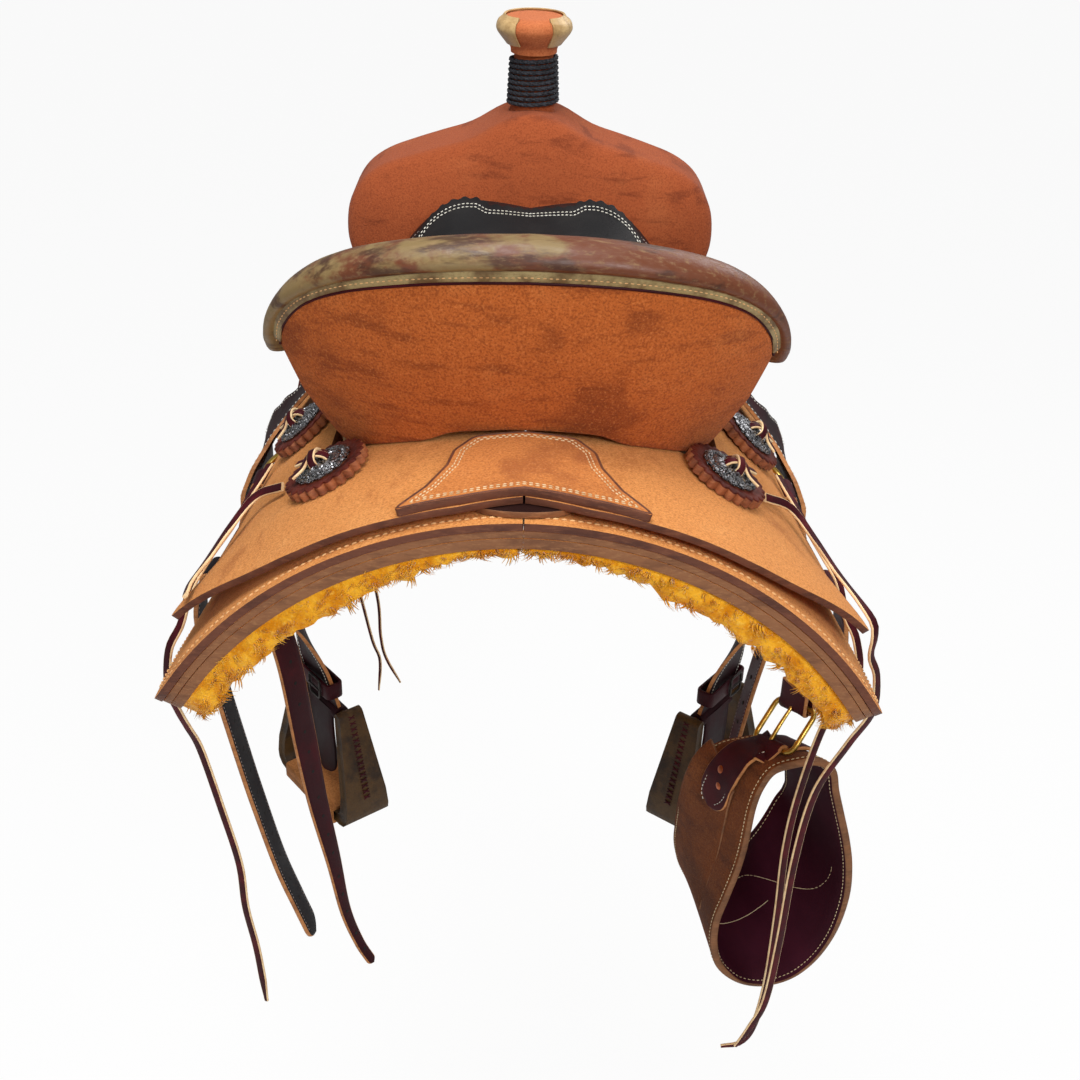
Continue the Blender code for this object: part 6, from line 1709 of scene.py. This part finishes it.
def make_tab():
    sections = cinch_sections(48)
    half, thickness = 0.0205, 0.0034
    reach = 0.0026 + 0.0006 + thickness / 2
    stand = CINCH_THICK / 2 + 0.0011 + thickness / 2
    outer = [sections[k][0] + sections[k][3] * stand for k in (6, 5, 4, 3, 2, 1)]
    turn = []
    for k in range(13):
        angle = math.pi * k / 12
        turn.append(LOW_BAR - CINCH_ACROSS * reach * math.cos(angle) + CINCH_UP * reach * math.sin(angle))
    inner = [sections[k][0] + sections[k][3] * stand for k in (47, 46, 45)]
    line = sampled(outer + turn[:1], 24)[:-1] + turn + sampled(turn[-1:] + inner, 12)[1:]
    back = (line[0] - line[1]).normalized()
    stations = []
    for k in range(8):
        r = 0.020 * (1 - k / 8)
        stations.append((line[0] + back * r, sections[6][1], half * math.sqrt(max(0.02, 1 - (r / 0.0202) ** 2))))
    for i, here in enumerate(line):
        level = sections[6][1].lerp(CINCH_ALONG, smoothstep(i / len(line), 0.0, 0.4))
        stations.append((here, level, half))
    strap("cinch_tab_leather", stations, thickness, [BURGUNDY, TAN_EDGE], body="cinch_body",
          replaces=["cinch_tab"], slot="burgundy_leather")
    bm = bmesh.new()
    rows = stations[2:28]
    for edge in (-1, 1):
        spots, normals = [], []
        for i, (here, level, width) in enumerate(rows):
            ahead = rows[min(len(rows) - 1, i + 1)][0] - rows[max(0, i - 1)][0]
            face = ahead.cross(level).normalized()
            face = face if face.dot(sections[4][3]) > 0 else -face
            spots.append(here + level.normalized() * edge * (width - 0.0038) + face * thickness / 2)
            normals.append(face)
        count = int(path_length(spots) / 0.0042)
        fine = sampled(spots, count)
        stitch_row(bm, fine, [normals[min(len(normals) - 1, round(k * (len(normals) - 1) / (count - 1)))]
                              for k in range(count)], 0.0030, 0.0010)
    piece("cinch_tab_stitches", bm, [WHITE_THREAD], body="cinch_body", merge=0)
    bm = bmesh.new()
    for k, a in ((4, 0.25), (5.4, -0.2)):
        low = int(k)
        here = sections[low][0].lerp(sections[low + 1][0], k - low) + sections[low][1] * half * a
        outward = sections[low][3]
        frame_of = outward.to_track_quat("Z", "Y").to_matrix().to_4x4()
        frame_of.translation = here + outward * (stand + thickness / 2)
        bmesh.ops.create_uvsphere(bm, u_segments=18, v_segments=10, radius=0.0042,
                                  matrix=frame_of @ Matrix.Diagonal((1, 1, 0.35, 1)))
    piece("cinch_rivets", bm, [COPPER], body="cinch_body", merge=0, sharp=80)


def make_buckle():
    half_rise = (HIGH_BAR - LOW_BAR).length / 2
    rise = (HIGH_BAR - LOW_BAR).normalized()
    half = 0.030
    flat = rounded([(-half, 0, 0.008), (half, 0, 0.008), (half, 2 * half_rise, 0.008), (-half, 2 * half_rise, 0.008)], 8)
    bm = bmesh.new()
    wire(bm, [LOW_BAR + CINCH_ALONG * p.x + rise * p.y for p in spaced(flat, 0.0035)], 0.0026, 12, closed=True)
    lift = rise.cross(CINCH_ALONG).normalized() * 0.0040
    if lift.y > 0:
        lift = -lift
    tongue = [LOW_BAR + rise * 0.004 + lift, LOW_BAR + rise * 0.016 + lift * 1.2, LOW_BAR + rise * 0.030 + lift * 1.2,
              HIGH_BAR + rise * 0.003 + lift]
    wire(bm, sampled(tongue, 16), [0.0022 - 0.00004 * k for k in range(16)], 10)
    piece("cinch_buckle_brass", bm, [BRASS], body="rear_billet_right_body", replaces=["cinch_buckle"], slot="brass",
          merge=0, sharp=60)


def make_right_billet():
    centre, level, down, out = dee_hinge(RIGHT, REAR_DEE_Y, REAR_DEE[2])
    half = 0.019
    stations = [(p, level, half) for p in turn_round(centre, down, out, EYE, 0.011)]
    reach = 0.0026 + 0.0006 + STRAP / 2
    foot = HIGH_BAR + CINCH_ACROSS * reach
    line = [stations[-1][0], Vector((0.2870, REAR_DEE_Y, -0.150)), Vector((0.2860, REAR_DEE_Y, -0.190)),
            foot + Vector((0, 0, 0.030)), foot]
    for k, place in enumerate(sampled(line, 33)[1:], 1):
        stations.append((place, level.lerp(CINCH_ALONG, smoothstep(k / 32, 0.2, 0.9)), half))
    for k in range(1, 13):
        angle = math.pi * k / 12
        place = HIGH_BAR + CINCH_ACROSS * reach * math.cos(angle) - Vector((0, 0, reach * math.sin(angle)))
        stations.append((place, CINCH_ALONG, half))
    end = HIGH_BAR - CINCH_ACROSS * reach
    stations += [(end + Vector((0, 0, rise)), CINCH_ALONG, half) for rise in (0.006, 0.012, 0.018, 0.022)]
    strap("rear_billet_right_leather", stations, STRAP, [BURGUNDY, TAN_EDGE], body="rear_billet_right_body",
          replaces=["rear_billet_right"], slot="black_leather")


# The punched holes are near-black plugs: painted shade where a hole would be.
PAINTED_HOLE_SHADE = Finish("punched hole painted shade", Base_Color=shade(14, 9, 9), Roughness=0.9).material


def make_rigging():
    for side, word in SIDES:
        make_dee("rear_dee_" + word, side, REAR_DEE_Y, *REAR_DEE)
        make_dee("front_dee_" + word, side, FRONT_DEE_Y, *FRONT_DEE)
    hanging_strap("rear_billet_left", LEFT, REAR_DEE_Y, REAR_DEE[2], REAR_BILLET_LEFT, 0.019, 0.0, 0.15,
                  [BLACK_LEATHER, TAN_EDGE], "rear_billet_left_body", hole=0.0022, thread=GREY_THREAD)
    hanging_strap("latigo_left", LEFT, FRONT_DEE_Y, FRONT_DEE[2], LATIGO, 0.016, math.radians(-35), 0.60,
                  [BURGUNDY, TAN_EDGE], "latigo_body", hole=0.0020, pitch=0.030)
    hanging_strap("off_billet_right", RIGHT, FRONT_DEE_Y, FRONT_DEE[2], OFF_BILLET, 0.019, 0.0, 0.1,
                  [BURGUNDY, TAN_EDGE], "off_billet_body", hole=0.0022, thread=GREY_THREAD)
    make_right_billet()
    make_buckle()
    make_cinch()
    make_tab()


def dress_tree():
    for node in ("tree_bar_left", "tree_bar_right", "tree_fork", "tree_cantle"):
        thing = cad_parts[node]
        thing.data.materials.clear()
        thing.data.materials.append(WOOD)


# Floor, light and camera

def make_stage():
    white = Finish("pale floor", Base_Color=shade(244, 244, 244), Roughness=0.9)
    tree = white.tree
    path = white.node("ShaderNodeLightPath")
    glow = tree.nodes.new("ShaderNodeEmission")
    glow.inputs["Color"].default_value = (1, 1, 1, 1)
    blend = tree.nodes.new("ShaderNodeMixShader")
    blend.inputs[0].default_value = 0.86
    tree.links.new(white.shader.outputs[0], blend.inputs[1])
    tree.links.new(glow.outputs[0], blend.inputs[2])
    seen = white.node("ShaderNodeMath", {"operation": "MULTIPLY"}, {0: path, 1: 0.93})
    tree.links.new(seen.socket, blend.inputs[0])
    tree.links.new(blend.outputs[0], tree.nodes["Material Output"].inputs[0])
    bm = bmesh.new()
    bmesh.ops.create_grid(bm, x_segments=1, y_segments=1, size=14)
    bmesh.ops.translate(bm, verts=bm.verts, vec=(0, 0, -1.25))
    mesh = bpy.data.meshes.new("floor")
    bm.to_mesh(mesh)
    bm.free()
    mesh.materials.append(white.material)
    floor = bpy.data.objects.new("floor", mesh)
    bpy.context.scene.collection.objects.link(floor)
    world = bpy.data.worlds.new("studio")
    bpy.context.scene.world = world
    world.use_nodes = True
    nodes, links = world.node_tree.nodes, world.node_tree.links
    sky = nodes["Background"]
    sky.inputs[0].default_value = (1, 1, 1, 1)
    sky.inputs[1].default_value = 0.28
    seen_sky = nodes.new("ShaderNodeBackground")
    seen_sky.inputs[1].default_value = 1.0
    seen_sky.inputs[0].default_value = (1, 1, 1, 1)
    ray = nodes.new("ShaderNodeLightPath")
    either = nodes.new("ShaderNodeMath")
    either.operation = "MAXIMUM"
    links.new(ray.outputs["Is Camera Ray"], either.inputs[0])
    links.new(ray.outputs["Is Transmission Ray"], either.inputs[1])
    join = nodes.new("ShaderNodeMixShader")
    links.new(either.outputs[0], join.inputs[0])
    links.new(sky.outputs[0], join.inputs[1])
    links.new(seen_sky.outputs[0], join.inputs[2])
    links.new(join.outputs[0], nodes["World Output"].inputs[0])


def lamp(name, place, target, size, power):
    light = bpy.data.lights.new(name, "AREA")
    light.shape = "DISK"
    light.size = size
    light.energy = power
    thing = bpy.data.objects.new(name, light)
    bpy.context.scene.collection.objects.link(thing)
    thing.location = place
    thing.rotation_euler = (Vector(target) - Vector(place)).to_track_quat("-Z", "Y").to_euler()


def make_camera():
    camera = bpy.data.cameras.new("camera")
    camera.lens = 36 * 1387 / 1080
    camera.sensor_width = 36
    camera.clip_start = 0.01
    thing = bpy.data.objects.new("camera", camera)
    bpy.context.scene.collection.objects.link(thing)
    pitch, yaw, roll = math.radians(30.0), math.radians(0.8), math.radians(1.65)
    ahead = Vector((math.sin(yaw) * math.cos(pitch), math.cos(yaw) * math.cos(pitch), -math.sin(pitch)))
    right = Vector((math.cos(yaw), -math.sin(yaw), 0))
    up = right.cross(ahead)
    level, tall = right * math.cos(roll) + up * math.sin(roll), up * math.cos(roll) - right * math.sin(roll)
    place = Matrix((level, tall, -ahead)).transposed().to_4x4()
    place.translation = (0, -1.20918, 0.528)
    thing.matrix_world = place
    bpy.context.scene.camera = thing


make_camera()
make_stage()
lamp("top light", (-0.3, -0.3, 2.4), (0, 0, 0), 1.6, 56)
lamp("rear light", (0.9, -2.3, 1.7), (0, 0, 0), 1.2, 46)
lamp("front light", (1.4, 1.8, 1.4), (0, 0, 0), 1.6, 20)
lamp("low light", (-0.7, -2.6, 0.35), (0, 0, 0.1), 1.2, 9)
make_strings()
for side, word in SIDES:
    make_fleece(side, word)
    make_skirt(side, word)
    make_jockey(side, word)
    make_fender(side, word)
    make_hobble(side, word)
    make_stirrup(side, word)
make_plate()
make_swell_cover()
make_cantle()
make_roll()
make_seat()
make_horn()
for rosette in ROSETTES:
    make_rosette(*rosette)
make_rigging()
dress_tree()

scene = bpy.context.scene
scene.view_settings.view_transform = "Standard"
